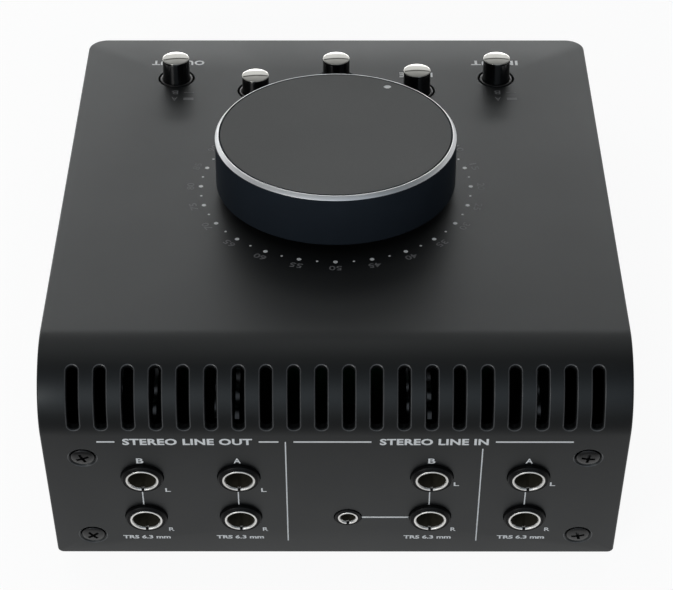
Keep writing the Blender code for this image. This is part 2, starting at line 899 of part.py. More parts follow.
def make_control_board(finish, screw_finish, panel):
    """The board for the switches and the potentiometer, held by four screws."""
    low = board_top - board_sheet
    across = case_width / 2 - board_from_side
    outline = rectangle(-across, across, board_front, board_rear, board_corner)
    hole = screw_shank_radius + seat_gap
    drills = []
    for x, y in stud_places():
        drills.append(placed(rod(hole, low - overrun, board_top + overrun, pin_steps), x, y))
    mesh = combined(prism(outline, low, board_top), cuts=[gathered(drills)])
    add_piece("control_board", mesh, finish, panel)

    head_top = low - seat_gap
    head_low = head_top - board_screw_head
    profile = [
        (0, head_low),
        (board_screw_head_radius * head_crown_share, head_low),
        (board_screw_head_radius, head_low + board_screw_head / 2),
        (board_screw_head_radius, head_top),
        (screw_shank_radius, head_top),
        (screw_shank_radius, head_top + board_screw_length),
        (0, head_top + board_screw_length),
    ]
    screw_mesh = mesh_of(turned(profile, pin_steps))
    for number, (x, y) in enumerate(stud_places(), start=1):
        add_piece(f"board_screw_{number}", screw_mesh, screw_finish, panel, x, y)


def jack_meshes(width, height, collar, collar_high, collar_round, bore, bore_deep, wall, sleeve_long):
    """The moulded body of a jack with its collar, and the split sleeve in the collar."""
    front = -under_cover
    rear = front - jack_body_length
    outline = rectangle(-width / 2, width / 2, -height / 2, height / 2, jack_body_round)
    ring = [
        (0, front - overrun),
        (collar, front - overrun),
        (collar, collar_high - collar_round),
        (collar - collar_round, collar_high),
        (0, collar_high),
    ]
    seat = bore + wall + seat_gap
    seat_low = collar_high + jack_sleeve_proud - sleeve_long - seat_gap
    drill = [
        (0, collar_high - bore_deep),
        (bore, collar_high - bore_deep),
        (bore, seat_low),
        (seat, seat_low),
        (seat, collar_high + overrun),
        (0, collar_high + overrun),
    ]
    body = combined(prism(outline, rear, front), joins=[turned(ring)], cuts=[turned(drill)])
    sleeve_top = collar_high + jack_sleeve_proud
    tube = [
        (bore, sleeve_top - sleeve_long),
        (bore + wall, sleeve_top - sleeve_long),
        (bore + wall, sleeve_top),
        (bore, sleeve_top),
    ]
    slot = block(
        -jack_sleeve_slot / 2, jack_sleeve_slot / 2, -bore - wall - overrun, 0,
        sleeve_top - sleeve_long - overrun, sleeve_top + overrun,
    )
    return body, combined(turned(tube), cuts=[slot])


def make_jacks(body_finish, sleeve_finish, rear_frame):
    """Eight large jacks in two rows and one small one."""
    body, sleeve = jack_meshes(
        jack_body_width, jack_body_height, jack_collar_radius, jack_collar_height,
        jack_collar_round, jack_bore_radius, jack_bore_depth, jack_sleeve_wall, jack_sleeve_length,
    )
    for name, x, height in jack_places():
        add_piece(f"jack_body_{name}", body, body_finish, rear_frame, x, height)
        add_piece(f"jack_sleeve_{name}", sleeve, sleeve_finish, rear_frame, x, height)
    body, sleeve = jack_meshes(
        mini_body_width, mini_body_height, mini_collar_radius, mini_collar_height,
        mini_collar_round, mini_bore_radius, mini_bore_depth, mini_sleeve_wall, mini_sleeve_length,
    )
    add_piece("mini_jack_body", body, body_finish, rear_frame, mini_from_middle, mini_height_up)
    add_piece("mini_jack_sleeve", sleeve, sleeve_finish, rear_frame, mini_from_middle, mini_height_up)


def make_jack_board(finish, rear_frame):
    """The upright board that carries the jacks."""
    front = -under_cover - jack_body_length - seat_gap
    across = case_width / 2 - jack_board_from_side
    low = jack_low - jack_body_height / 2 - jack_board_below_jacks
    high = jack_high + jack_body_height / 2 + jack_board_above_jacks
    outline = rectangle(-across, across, low, high, board_corner)
    add_piece("jack_board", mesh_of(prism(outline, front - board_sheet, front)), finish, rear_frame)


def make_ribbon(finish):
    """The ribbon cable with a plug on each board, drawn in side view."""
    slope = Matrix.Rotation(top_slope, 2)
    under_board = board_top - board_sheet - seat_gap
    dial = bent((0, dial_from_front, 0)).yz

    def panel_point(along, height):
        return dial + slope @ Vector((along, height))

    plug_rear = board_rear - ribbon_from_board_edge
    plug_front = plug_rear - ribbon_plug_depth
    upper = [
        panel_point(plug_front, under_board - ribbon_plug_height),
        panel_point(plug_rear, under_board - ribbon_plug_height),
        panel_point(plug_rear, under_board),
        panel_point(plug_front, under_board),
    ]
    wall = rear_y - under_cover - jack_body_length - seat_gap - board_sheet - seat_gap
    low = cover_bottom + ribbon_plug_up
    lower = rectangle(wall - ribbon_plug_height, wall, low, low + ribbon_plug_depth)
    start = (upper[1] + upper[2]) / 2
    end = Vector((wall - ribbon_plug_height, low + ribbon_plug_depth / 2))
    out_start = slope @ Vector((1, 0))
    out_end = Vector((-1, 0))
    span = (end - start).length
    path = interpolate_bezier(
        start - out_start * overrun,
        start + out_start * span * ribbon_slack_share,
        end + out_end * span * ribbon_slack_share,
        end - out_end * overrun,
        ribbon_steps,
    )
    above, below = [], []
    for before, middle, after in zip([path[0]] + path, path, path[1:] + [path[-1]]):
        along = (after - before).normalized()
        side = Vector((-along.y, along.x)) * ribbon_sheet / 2
        above.append(middle + side)
        below.append(middle - side)
    half = ribbon_plug_width / 2
    strip = side_on(prism(above + below[::-1], -ribbon_width / 2, ribbon_width / 2))
    plugs = [side_on(prism(outline, -half, half)) for outline in (upper, lower)]
    add_piece("ribbon_cable", combined(strip, joins=plugs), finish, None)


def clear_scene():
    """Empties the scene that Blender starts with."""
    for thing in list(bpy.data.objects):
        bpy.data.objects.remove(thing)


def build():
    """Makes every piece of the controller."""
    clear_scene()
    case_black = material("case_black", (0.035, 0.036, 0.038), 0.45, 0.6)
    tray_black = material("tray_black", (0.030, 0.030, 0.032), 0.55, 0.5)
    knob_black = material("knob_black", (0.012, 0.013, 0.016), 0.35, 0.7)
    disc_grey = material("disc_grey", (0.055, 0.058, 0.060), 0.5, 0.6)
    gloss_black = material("gloss_black", (0.008, 0.008, 0.008), 0.12)
    plain_black = material("plain_black", (0.02, 0.02, 0.02), 0.5)
    chrome = material("chrome", (0.75, 0.75, 0.76), 0.12, 1.0)
    steel = material("steel", (0.5, 0.5, 0.52), 0.3, 1.0)
    screw_black = material("screw_black", (0.02, 0.02, 0.022), 0.3, 0.8)
    rubber = material("rubber", (0.015, 0.015, 0.015), 0.85)
    board_green = material("board_green", (0.02, 0.11, 0.05), 0.4)
    ribbon_grey = material("ribbon_grey", (0.45, 0.45, 0.46), 0.6)

    rear_turn = Matrix(((-1, 0, 0), (0, 0, 1), (0, 1, 0))).to_4x4()
    rear_frame = empty("rear_frame", Matrix.Translation((0, rear_y, cover_bottom)) @ rear_turn)
    dial = bent((0, dial_from_front, 0))
    panel = empty("panel_frame", Matrix.Translation(dial) @ Matrix.Rotation(top_slope, 4, "X"))
    knob_axis = empty("knob_axis", Matrix(), panel)

    make_cover(case_black)
    make_tray(tray_black)
    make_feet(rubber)
    make_rear_screws(screw_black, rear_frame)
    make_knob(knob_black, plain_black, disc_grey, knob_axis)
    make_pot(steel, steel, steel, panel, knob_axis)
    make_buttons(gloss_black, chrome, plain_black, panel)
    make_button_guide(plain_black, panel)
    make_control_board(board_green, steel, panel)
    make_jacks(plain_black, chrome, rear_frame)
    make_jack_board(board_green, rear_frame)
    make_ribbon(ribbon_grey)


build()
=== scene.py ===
import json
import math

import bmesh
import bpy
from mathutils import Matrix, Vector


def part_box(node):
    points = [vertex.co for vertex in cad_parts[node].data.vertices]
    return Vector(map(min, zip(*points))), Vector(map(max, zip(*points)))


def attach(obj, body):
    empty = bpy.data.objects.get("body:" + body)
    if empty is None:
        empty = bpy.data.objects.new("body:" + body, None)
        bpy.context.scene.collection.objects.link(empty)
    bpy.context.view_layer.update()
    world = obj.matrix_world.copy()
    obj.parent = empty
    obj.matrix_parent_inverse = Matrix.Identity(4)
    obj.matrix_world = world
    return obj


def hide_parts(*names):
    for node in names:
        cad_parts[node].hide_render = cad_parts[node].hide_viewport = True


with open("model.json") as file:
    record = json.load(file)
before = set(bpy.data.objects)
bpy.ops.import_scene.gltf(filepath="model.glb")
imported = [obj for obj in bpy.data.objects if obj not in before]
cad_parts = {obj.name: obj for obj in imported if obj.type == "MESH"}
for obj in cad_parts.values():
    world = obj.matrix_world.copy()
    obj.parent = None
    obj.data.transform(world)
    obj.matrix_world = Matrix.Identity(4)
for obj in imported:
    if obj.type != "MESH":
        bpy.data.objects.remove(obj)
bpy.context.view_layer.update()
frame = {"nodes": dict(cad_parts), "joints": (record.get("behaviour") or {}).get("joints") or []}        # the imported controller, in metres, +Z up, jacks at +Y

print("frame loaded:", len(frame["nodes"]), "nodes")

# Places read from the frame. The panel frame has its origin on the sloped top under the
# knob, x to the user's right, y up the slope and z out of the top. The rear frame has its
# origin at the rear panel's lower edge, x to the right seen from behind, z out of the panel.
micron = 1e-6
knobJoint = next(j for j in frame["joints"] if j["name"] == "knob_turn")
dialCentre = Vector(knobJoint["pos_m"])
panelNormal = -Vector(knobJoint["axis"]).normalized()
slope = math.atan2(-panelNormal.y, panelNormal.z)
panelPlace = Matrix.Translation(dialCentre) @ Matrix.Rotation(slope, 4, "X")
coverLow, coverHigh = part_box("top_cover")
rearTurn = Matrix(((-1, 0, 0), (0, 0, 1), (0, 1, 0))).to_4x4()
rearPlace = Matrix.Translation((0, coverHigh.y, coverLow.z)) @ rearTurn
sides = ("left", "right")
jackNames = [f"{group}_{side}" for group in ("out_b", "out_a", "in_b", "in_a") for side in sides]
screwNames = [f"{level}_{side}" for level in ("lower", "upper") for side in sides]
footNames = [f"{end}_{side}" for end in ("front", "rear") for side in sides]
buttonNumbers = range(1, 6)


def middleIn(place, node):
    low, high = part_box(node)
    return place.inverted() @ ((low + high) / 2)


def highestIn(place, node):
    toLocal = place.inverted()
    return max((toLocal @ v.co).z for v in frame["nodes"][node].data.vertices)


def spotOn(place, middle, height=0):
    return place @ Matrix.Translation((middle.x, middle.y, height))


buttonPlaces = {number: middleIn(panelPlace, f"switch_body_{number}") for number in buttonNumbers}
smallJackPlace = middleIn(rearPlace, "mini_jack_sleeve")


# Mesh helpers

def newObject(name, data):
    item = bpy.data.objects.new(name, data)
    bpy.context.scene.collection.objects.link(item)
    return item


def meshFrom(bm, name):
    mesh = bpy.data.meshes.new(name)
    bm.to_mesh(mesh)
    bm.free()
    return mesh


def thickened(bm, height):
    # a flat outline pulled up or down into a plate
    raised = bmesh.ops.extrude_face_region(bm, geom=list(bm.faces))
    pulled = [item for item in raised["geom"] if isinstance(item, bmesh.types.BMVert)]
    bmesh.ops.translate(bm, verts=pulled, vec=(0, 0, height))
    bmesh.ops.recalc_face_normals(bm, faces=bm.faces)


def spun(profile, steps):
    # a profile of radius and height turned round z, closed on itself if it leaves the axis
    bm = bmesh.new()
    verts = [bm.verts.new((radius, 0, height)) for radius, height in profile]
    edges = [bm.edges.new(pair) for pair in zip(verts, verts[1:])]
    if profile[0][0] or profile[-1][0]:
        edges.append(bm.edges.new((verts[-1], verts[0])))
    bmesh.ops.spin(bm, geom=verts + edges, cent=(0, 0, 0), axis=(0, 0, 1),
                   angle=2 * math.pi, steps=steps, use_merge=True)
    bmesh.ops.remove_doubles(bm, verts=bm.verts, dist=micron / 10)
    bmesh.ops.recalc_face_normals(bm, faces=bm.faces)
    return bm


def rod(radius, low, high, steps):
    return spun([(0, low), (radius, low), (radius, high), (0, high)], steps)


def moved(bm, x=0, y=0, z=0):
    bmesh.ops.translate(bm, verts=bm.verts, vec=(x, y, z))
    return bm


def turned(bm, angle, axis):
    bmesh.ops.rotate(bm, verts=bm.verts, matrix=Matrix.Rotation(angle, 3, axis))
    return bm


def softened(bm, width, segments=2, limit=30, chosen=None):
    # rounds each edge that is sharper than the limit, in degrees
    edges = []
    for edge in bm.edges:
        if edge.is_manifold and edge.calc_face_angle() > math.radians(limit):
            if chosen is None or chosen((edge.verts[0].co + edge.verts[1].co) / 2):
                edges.append(edge)
    bmesh.ops.bevel(bm, geom=edges, offset=width, segments=segments, affect="EDGES",
                    profile=0.5, material=-1)
    return bm


def slab(xLow, xHigh, yLow, yHigh, low, high, corner=0, segments=8):
    # a plate with rounded corners
    bm = bmesh.new()
    corners = [bm.verts.new((x, y, low)) for x, y in
               ((xLow, yLow), (xHigh, yLow), (xHigh, yHigh), (xLow, yHigh))]
    bm.faces.new(corners)
    if corner:
        bmesh.ops.bevel(bm, geom=corners, offset=corner, segments=segments, affect="VERTICES",
                        profile=0.5, material=-1)
    thickened(bm, high - low)
    return bm


def gathered(parts):
    whole = bmesh.new()
    for part in parts:
        mesh = meshFrom(part, "part")
        whole.from_mesh(mesh)
        bpy.data.meshes.remove(mesh)
    return whole


def helperObject(bm, slots=1):
    mesh = meshFrom(bm, "helper")
    for number in range(slots):
        mesh.materials.append(None)
    return newObject("helper", mesh)


def combined(base, joins=(), cuts=(), slots=1):
    # joins and cuts are lists of closed meshes, slots is how many finishes the base has
    body = helperObject(base, slots)
    tools = []
    for operation, parts in (("UNION", joins), ("DIFFERENCE", cuts)):
        for part in parts:
            tool = helperObject(part)
            tools.append(tool)
            boolean = body.modifiers.new(operation.lower(), "BOOLEAN")
            boolean.operation = operation
            boolean.solver = "EXACT"
            boolean.object = tool
    bpy.context.view_layer.update()
    graph = bpy.context.evaluated_depsgraph_get()
    mesh = bpy.data.meshes.new_from_object(body.evaluated_get(graph))
    result = bmesh.new()
    result.from_mesh(mesh)
    bpy.data.meshes.remove(mesh)
    for helper in [body] + tools:
        bpy.data.objects.remove(helper)
    return result


def addPiece(name, bm, materials, place, body, sharp=32):
    # the finished piece: its object stays at the origin and its place is in its mesh
    bmesh.ops.transform(bm, matrix=place, verts=bm.verts)
    mesh = meshFrom(bm, name)
    for material in materials:
        mesh.materials.append(material)
    mesh.shade_smooth()
    mesh.set_sharp_from_angle(angle=math.radians(sharp))
    piece = newObject(name, mesh)
    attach(piece, body)
    return piece


# Materials

# Noise scales per metre, bump strengths and other values inside the finishes
skin = {
    "patches": 38.0,
    "turnedPatches": 55.0,
    "platedPatches": 260.0,
    "coatedBump": 0.35,
    "turnedBump": 0.4,
    "platedBump": 0.2,
    "ribBump": 0.6,
    "ribDepth": 0.0001,
    "ribsPerWave": 3.2,
    "noiseRange": (0.3, 0.7),
}


def feed(tree, node, inputs):
    # each input takes a value or another node's output
    for spot, value in inputs.items():
        if isinstance(value, bpy.types.NodeSocket):
            tree.links.new(value, node.inputs[spot])
        else:
            node.inputs[spot].default_value = value


def newNode(tree, kind, inputs, **settings):
    node = tree.nodes.new("ShaderNode" + kind)
    for setting, value in settings.items():
        setattr(node, setting, value)
    feed(tree, node, inputs)
    return node


def startMaterial(name, colour, roughness, metallic=0.0):
    material = bpy.data.materials.new(name)
    material.use_nodes = True
    shader = material.node_tree.nodes["Principled BSDF"]
    inputs = {"Base Color": (*colour, 1), "Roughness": roughness, "Metallic": metallic}
    feed(material.node_tree, shader, inputs)
    return material, material.node_tree, shader


def noiseOn(tree, vector, scale, detail=3.0, roughness=0.55):
    inputs = {"Scale": scale, "Detail": detail, "Roughness": roughness, "Vector": vector}
    return newNode(tree, "TexNoise", inputs).outputs["Fac"]


def spread(tree, value, low, high):
    # a noise, which mostly stays in its range, spread over low to high
    start, end = skin["noiseRange"]
    inputs = {"From Min": start, "From Max": end, "To Min": low, "To Max": high, "Value": value}
    return newNode(tree, "MapRange", inputs).outputs["Result"]


def shade(tree, value, dark, light):
    mix = newNode(tree, "Mix", {"A": (*dark, 1), "B": (*light, 1), "Factor": value}, data_type="RGBA")
    return mix.outputs["Result"]


def bumpFrom(tree, shader, value, strength, distance):
    bump = newNode(tree, "Bump", {"Strength": strength, "Distance": distance, "Height": value})
    feed(tree, shader, {"Normal": bump.outputs["Normal"]})


def objectPlace(tree):
    return newNode(tree, "TexCoord", {}).outputs["Object"]


def dress(tree, shader, tinting, dark, light, dulling, roughLow, roughHigh):
    # one noise drives the colour and another the roughness
    colour = shade(tree, spread(tree, tinting, 0, 1), dark, light)
    feed(tree, shader, {"Base Color": colour, "Roughness": spread(tree, dulling, roughLow, roughHigh)})


def coatedFinish(name, dark, light, roughLow, roughHigh, grain, grainDepth, specular=0.5, sheen=(1, 1, 1)):
    # sprayed or moulded skin: a fine grain in the colour and bump, and slow patches of sheen
    material, tree, shader = startMaterial(name, light, roughLow)
    place = objectPlace(tree)
    fine = noiseOn(tree, place, grain, 4.0, 0.6)
    slow = noiseOn(tree, place, skin["patches"])
    dress(tree, shader, fine, dark, light, slow, roughLow, roughHigh)
    bumpFrom(tree, shader, fine, skin["coatedBump"], grainDepth)
    feed(tree, shader, {"Specular IOR Level": specular, "Specular Tint": (*sheen, 1)})
    return material


def turnedFinish(name, dark, light, roughLow, roughHigh, metallic, ringWidth, lineDepth,
                 flat=False, specular=0.5):
    # lathe-turned metal: fine rings round the knob's axis, on its side or on its face
    material, tree, shader = startMaterial(name, light, roughLow, metallic)
    mapping = newNode(tree, "Mapping", {
        "Location": dialCentre, "Rotation": (slope, 0, 0), "Vector": objectPlace(tree),
    }, vector_type="TEXTURE")
    apart = newNode(tree, "SeparateXYZ", {"Vector": mapping.outputs["Vector"]})
    height = apart.outputs["Z"]
    if flat:
        reach = newNode(tree, "VectorMath", {0: mapping.outputs["Vector"]}, operation="LENGTH")
        height = reach.outputs["Value"]
    inputs = {"Scale": 1 / ringWidth, "Detail": 3.0, "W": height}
    rings = newNode(tree, "TexNoise", inputs, noise_dimensions="1D")
    slow = noiseOn(tree, mapping.outputs["Vector"], skin["turnedPatches"])
    dress(tree, shader, slow, dark, light, rings.outputs["Fac"], roughLow, roughHigh)
    bumpFrom(tree, shader, rings.outputs["Fac"], skin["turnedBump"], lineDepth)
    feed(tree, shader, {"Specular IOR Level": specular})
    return material


def platedFinish(name, dark, light, roughLow, roughHigh, scratch, depth):
    # plated or bare metal with faint wipe marks
    material, tree, shader = startMaterial(name, light, roughLow, 1.0)
    place = objectPlace(tree)
    slow = noiseOn(tree, place, skin["platedPatches"], 4.0)
    fine = noiseOn(tree, place, scratch, 2.0)
    dress(tree, shader, slow, dark, light, fine, roughLow, roughHigh)
    bumpFrom(tree, shader, slow, skin["platedBump"], depth)
    return material


def ribbonFinish(name, grey, groove, pitch):
    # flat cable: ribs across its width, with the grooves between them coloured darker than the ribs as a
    # painted shade
    material, tree, shader = startMaterial(name, grey, 0.55)
    wave = newNode(tree, "TexWave", {
        "Scale": 1 / pitch / skin["ribsPerWave"], "Vector": objectPlace(tree),
    }, bands_direction="X")
    feed(tree, shader, {"Base Color": shade(tree, wave.outputs["Fac"], groove, grey)})
    bumpFrom(tree, shader, wave.outputs["Fac"], skin["ribBump"], skin["ribDepth"])
    return material


casePaint = coatedFinish(
    "casePaint", (0.0042, 0.0043, 0.0046), (0.0058, 0.0059, 0.0063), 0.4, 0.45, 2400.0, 6 * micron,
    sheen=(0.94, 0.99, 1.0))
# lighter paint on the flared lips of the openings in the bend and rear: partly the thinner paint of punched
# edges, partly a painted highlight along those edges
edgePaint = coatedFinish(
    "edgePaint", (0.062, 0.064, 0.066), (0.085, 0.087, 0.09), 0.3, 0.38, 1800.0, 6 * micron)
trayPaint = coatedFinish(
    "trayPaint", (0.008, 0.008, 0.0084), (0.012, 0.012, 0.0124), 0.42, 0.5, 2000.0, 14 * micron)
knobSide = turnedFinish(
    "knobSide", (0.0165, 0.021, 0.0275), (0.0205, 0.0262, 0.034), 0.34, 0.44, 0.0, 0.00016, 5 * micron,
    specular=0.02)
knobEdge = turnedFinish(
    "knobEdge", (0.84, 0.85, 0.86), (0.94, 0.95, 0.96), 0.46, 0.54, 1.0, 0.00006, 2 * micron, flat=True)
discSkin = coatedFinish(
    "discSkin", (0.102, 0.104, 0.102), (0.12, 0.122, 0.12), 0.62, 0.7, 5200.0, 6 * micron, 0.3)
mouldedBlack = coatedFinish(
    "mouldedBlack", (0.006, 0.006, 0.0064), (0.01, 0.01, 0.0104), 0.34, 0.44, 3200.0, 6 * micron)
jackBlack = coatedFinish(
    "jackBlack", (0.0034, 0.0034, 0.0036), (0.006, 0.006, 0.0062), 0.36, 0.44, 2600.0, 8 * micron, 0.16)
boreBlack = coatedFinish(
    "boreBlack", (0.03, 0.027, 0.019), (0.042, 0.037, 0.026), 0.5, 0.6, 1500.0, 6 * micron, 0.2)
guideBlack = coatedFinish(
    "guideBlack", (0.008, 0.008, 0.0084), (0.011, 0.011, 0.0114), 0.33, 0.4, 3200.0, 6 * micron)
buttonGloss = coatedFinish(
    "buttonGloss", (0.0025, 0.0025, 0.0027), (0.0035, 0.0035, 0.0038), 0.1, 0.16, 900.0, 1 * micron)
rubberSkin = coatedFinish(
    "rubberSkin", (0.009, 0.009, 0.0092), (0.015, 0.015, 0.0152), 0.7, 0.82, 2600.0, 20 * micron)
screwBlack = coatedFinish(
    "screwBlack", (0.004, 0.004, 0.0042), (0.0075, 0.0075, 0.0078), 0.26, 0.36, 1400.0, 12 * micron)
chromeTop = platedFinish(
    "chromeTop", (0.4, 0.395, 0.37), (0.46, 0.455, 0.43), 0.02, 0.05, 2200.0, 0.4 * micron)
nickelSleeve = platedFinish(
    "nickelSleeve", (0.9, 0.89, 0.86), (0.98, 0.97, 0.95), 0.36, 0.44, 2600.0, 2 * micron)
zincSteel = platedFinish(
    "zincSteel", (0.42, 0.42, 0.43), (0.58, 0.58, 0.58), 0.28, 0.42, 1500.0, 6 * micron)
boardGreen = coatedFinish(
    "boardGreen", (0.006, 0.035, 0.018), (0.009, 0.055, 0.028), 0.3, 0.42, 700.0, 10 * micron)
ribbonGrey = ribbonFinish("ribbonGrey", (0.42, 0.42, 0.43), (0.2, 0.2, 0.21), 0.00127)
printInk = coatedFinish("printInk", (0.84, 0.85, 0.85), (0.92, 0.93, 0.93), 0.46, 0.56, 2600.0, 4 * micron)
panelInk = coatedFinish(
    "panelInk", (0.82, 0.83, 0.83), (0.92, 0.93, 0.93), 0.38, 0.46, 2600.0, 4 * micron, 1.0)
faintInk = coatedFinish(
    "faintInk", (0.14, 0.14, 0.144), (0.18, 0.18, 0.184), 0.5, 0.62, 2600.0, 4 * micron, 0.3)
print("materials made")


# Bent cover: drawn flat, with its openings, then bent round the rear

cover = {
    "rearHeight": 0.0696,
    "topLength": 0.15878,
    "sheet": 0.002,
    "bendRadius": 0.0155,
    "frontCorner": 0.005,
    "rearCorner": 0.0015,
    "edgeRound": 0.0005,
    "lowerEdgeRound": 0.00025,
    "bendSteps": 40,
    "ventCount": 20,
    "ventFromSide": 0.00805,
    "ventWidth": 0.0026,
    "ventLength": 0.0161,
    "ventLip": 0.0004,
    "ventLipWidth": 0.00022,
    "ventLipDepth": 0.00012,
    "ventSlope": 0.0004,
    "ventPastBendLine": 0.0102,
    "holeFlare": 0.00006,
    "holeSteps": 72,
    "ventSteps": 32,
    "cornerSteps": 10,
    "lipFacing": (0.7, 0.97),
    "plainEnd": 0.002,
    "bushHole": 0.0048,
    "guideHole": 0.00493,
    "jackHole": 0.00514,
    "smallJackHole": 0.0034,
    "screwMouth": 0.00355,
    "screwHole": 0.0018,
    "screwSeat": 0.0019,
}
halfWidth = coverHigh.x
bendAngle = math.pi / 2 + slope
bendSetback = cover["bendRadius"] * math.tan(bendAngle / 2)
slopeRun = cover["topLength"] - bendSetback
bendRun = cover["bendRadius"] * bendAngle
rearRun = cover["rearHeight"] - bendSetback
sheetRun = slopeRun + bendRun + rearRun
dialRun = (dialCentre.y - coverHigh.y) / math.cos(slope) + cover["topLength"]
frontEdge = Vector((0, coverHigh.y - cover["topLength"] * math.cos(slope),
                    coverLow.z + cover["rearHeight"] - cover["topLength"] * math.sin(slope)))
bendCentre = Vector((0, coverHigh.y - cover["bendRadius"], coverLow.z + rearRun))


def bent(flat):
    # flat: x across, y from the front edge to the rear panel's lower edge, z over the outer face
    if flat.y <= slopeRun:
        up = Vector((0, math.cos(slope), math.sin(slope)))
        return frontEdge + Vector((flat.x, 0, 0)) + flat.y * up + flat.z * panelNormal
    if flat.y >= slopeRun + bendRun:
        return Vector((flat.x, coverHigh.y + flat.z, coverLow.z + sheetRun - flat.y))
    angle = bendAngle * (1 - (flat.y - slopeRun) / bendRun)
    reach = cover["bendRadius"] + flat.z
    return bendCentre + Vector((flat.x, reach * math.cos(angle), reach * math.sin(angle)))


def flaredHole(radius, x, run):
    # a round cutter that opens a little at the outer face
    flare = cover["holeFlare"]
    low = -cover["sheet"] - flare
    profile = [(0, low), (radius, low), (radius, -flare), (radius + flare * 2, flare), (0, flare)]
    return moved(spun(profile, cover["holeSteps"]), x, run)


def ventCutter(x):
    # a circle pulled out to a slot, with a flared mouth
    lip, width, depth = cover["ventLip"], cover["ventLipWidth"], cover["ventLipDepth"]
    radius = cover["ventWidth"] / 2
    stretch = cover["ventLength"] / 2 - radius
    slot = spun([(0, -cover["sheet"] - lip), (radius, -cover["sheet"] - lip), (radius, -cover["ventSlope"]),
                 (radius + lip - width, -depth), (radius + lip + width, depth), (0, depth)],
                cover["ventSteps"])
    turned(slot, math.pi / cover["ventSteps"], "Z")
    for vert in slot.verts:
        if abs(vert.co.y) > micron:
            vert.co.y += math.copysign(stretch, vert.co.y)
    for pole in [v for v in slot.verts if abs(v.co.x) < micron and abs(v.co.y) < micron]:
        pole.co.y = 0
    middle = sheetRun - rearRun - cover["ventPastBendLine"]
    return moved(slot, x, middle)


def screwMouth(x, run):
    seat, mouth, hole = cover["screwSeat"], cover["screwMouth"], cover["screwHole"]
    width, depth = cover["ventLipWidth"], cover["ventLipDepth"]
    low = -cover["sheet"] - depth
    profile = [(0, low), (hole, low), (hole, -seat), (mouth - width, -depth), (mouth + width, depth),
               (0, depth)]
    return moved(spun(profile, cover["holeSteps"]), x, run)


def makeCover():
    sheet = bmesh.new()
    outline = [sheet.verts.new(place) for place in
               ((-halfWidth, 0, 0), (halfWidth, 0, 0), (halfWidth, sheetRun, 0), (-halfWidth, sheetRun, 0))]
    sheet.faces.new(outline)
    for pair, radius in ((outline[:2], cover["frontCorner"]), (outline[2:], cover["rearCorner"])):
        bmesh.ops.bevel(sheet, geom=pair, offset=radius, segments=cover["cornerSteps"], affect="VERTICES",
                        profile=0.5, material=-1)
    thickened(sheet, -cover["sheet"])
    underside = micron - cover["sheet"]
    softened(sheet, cover["edgeRound"], 4, limit=60, chosen=lambda spot: spot.z > -micron)
    softened(sheet, cover["lowerEdgeRound"], 2, limit=60, chosen=lambda spot: spot.z < underside)

    firstVent = cover["ventFromSide"] - halfWidth
    ventPitch = -2 * firstVent / (cover["ventCount"] - 1)
    cutters = [ventCutter(firstVent + number * ventPitch) for number in range(cover["ventCount"])]
    cutters.append(flaredHole(cover["bushHole"], 0, dialRun))
    for number, place in buttonPlaces.items():
        cutters.append(flaredHole(cover["guideHole"], place.x, place.y + dialRun))
    for name in jackNames:
        place = middleIn(rearPlace, f"jack_sleeve_{name}")
        cutters.append(flaredHole(cover["jackHole"], -place.x, sheetRun - place.y))
    cutters.append(flaredHole(cover["smallJackHole"], -smallJackPlace.x, sheetRun - smallJackPlace.y))
    for name in screwNames:
        place = middleIn(rearPlace, f"rear_screw_{name}")
        cutters.append(screwMouth(-place.x, sheetRun - place.y))
    shell = combined(sheet, cuts=[gathered(cutters)])
    # the flared lip faces round the vents, screw mouths and jack holes on the bend and rear take the lighter
    # edge paint: partly thinner paint at the punched edges, partly a painted highlight along them
    steepest, flattest = cover["lipFacing"]
    for face in shell.faces:
        middle = face.calc_center_median()
        onLip = steepest < face.normal.z < flattest and middle.z > -cover["ventLipDepth"]
        inside = abs(middle.x) < halfWidth - cover["frontCorner"]
        if onLip and inside and slopeRun < middle.y < sheetRun - cover["plainEnd"]:
            face.material_index = 1
    for line in range(cover["bendSteps"] + 1):
        everything = shell.verts[:] + shell.edges[:] + shell.faces[:]
        run = slopeRun + bendRun * line / cover["bendSteps"]
        bmesh.ops.bisect_plane(shell, geom=everything, plane_co=(0, run, 0), plane_no=(0, 1, 0))
    bmesh.ops.triangulate(shell, faces=shell.faces)
    for vert in shell.verts:
        vert.co = bent(vert.co)
    piece = addPiece("coverShell", shell, [casePaint, edgePaint], Matrix(), "chassis", 28)
    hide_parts("top_cover")


makeCover()
print("cover bent")


# Knob: turned shell with a bright chamfer, inlaid disc and pointer

knob = {
    "radius": 0.03015,
    "lift": 0.002,
    "height": 0.01386,
    "chamferWidth": 0.00074,
    "chamferHeight": 0.00092,
    "chamferFacing": 0.4,
    "land": 0.00023,
    "footRound": 0.0004,
    "wall": 0.0027,
    "web": 0.002,
    "recess": 0.001,
    "gap": 0.00031,
    "edgeRound": 0.00006,
    "discEdge": 0.0001,
    "pointerRadius": 0.001,
    "pointerFromAxis": 0.0264,
    "pointerAngle": math.radians(30),
    "pointerDepth": 0.00018,
    "pointerGap": 0.00002,
    "pointerEdge": 0.00003,
    "pointerCrown": 0.00006,
    "pointerSteps": 40,
    "steps": 160,
}


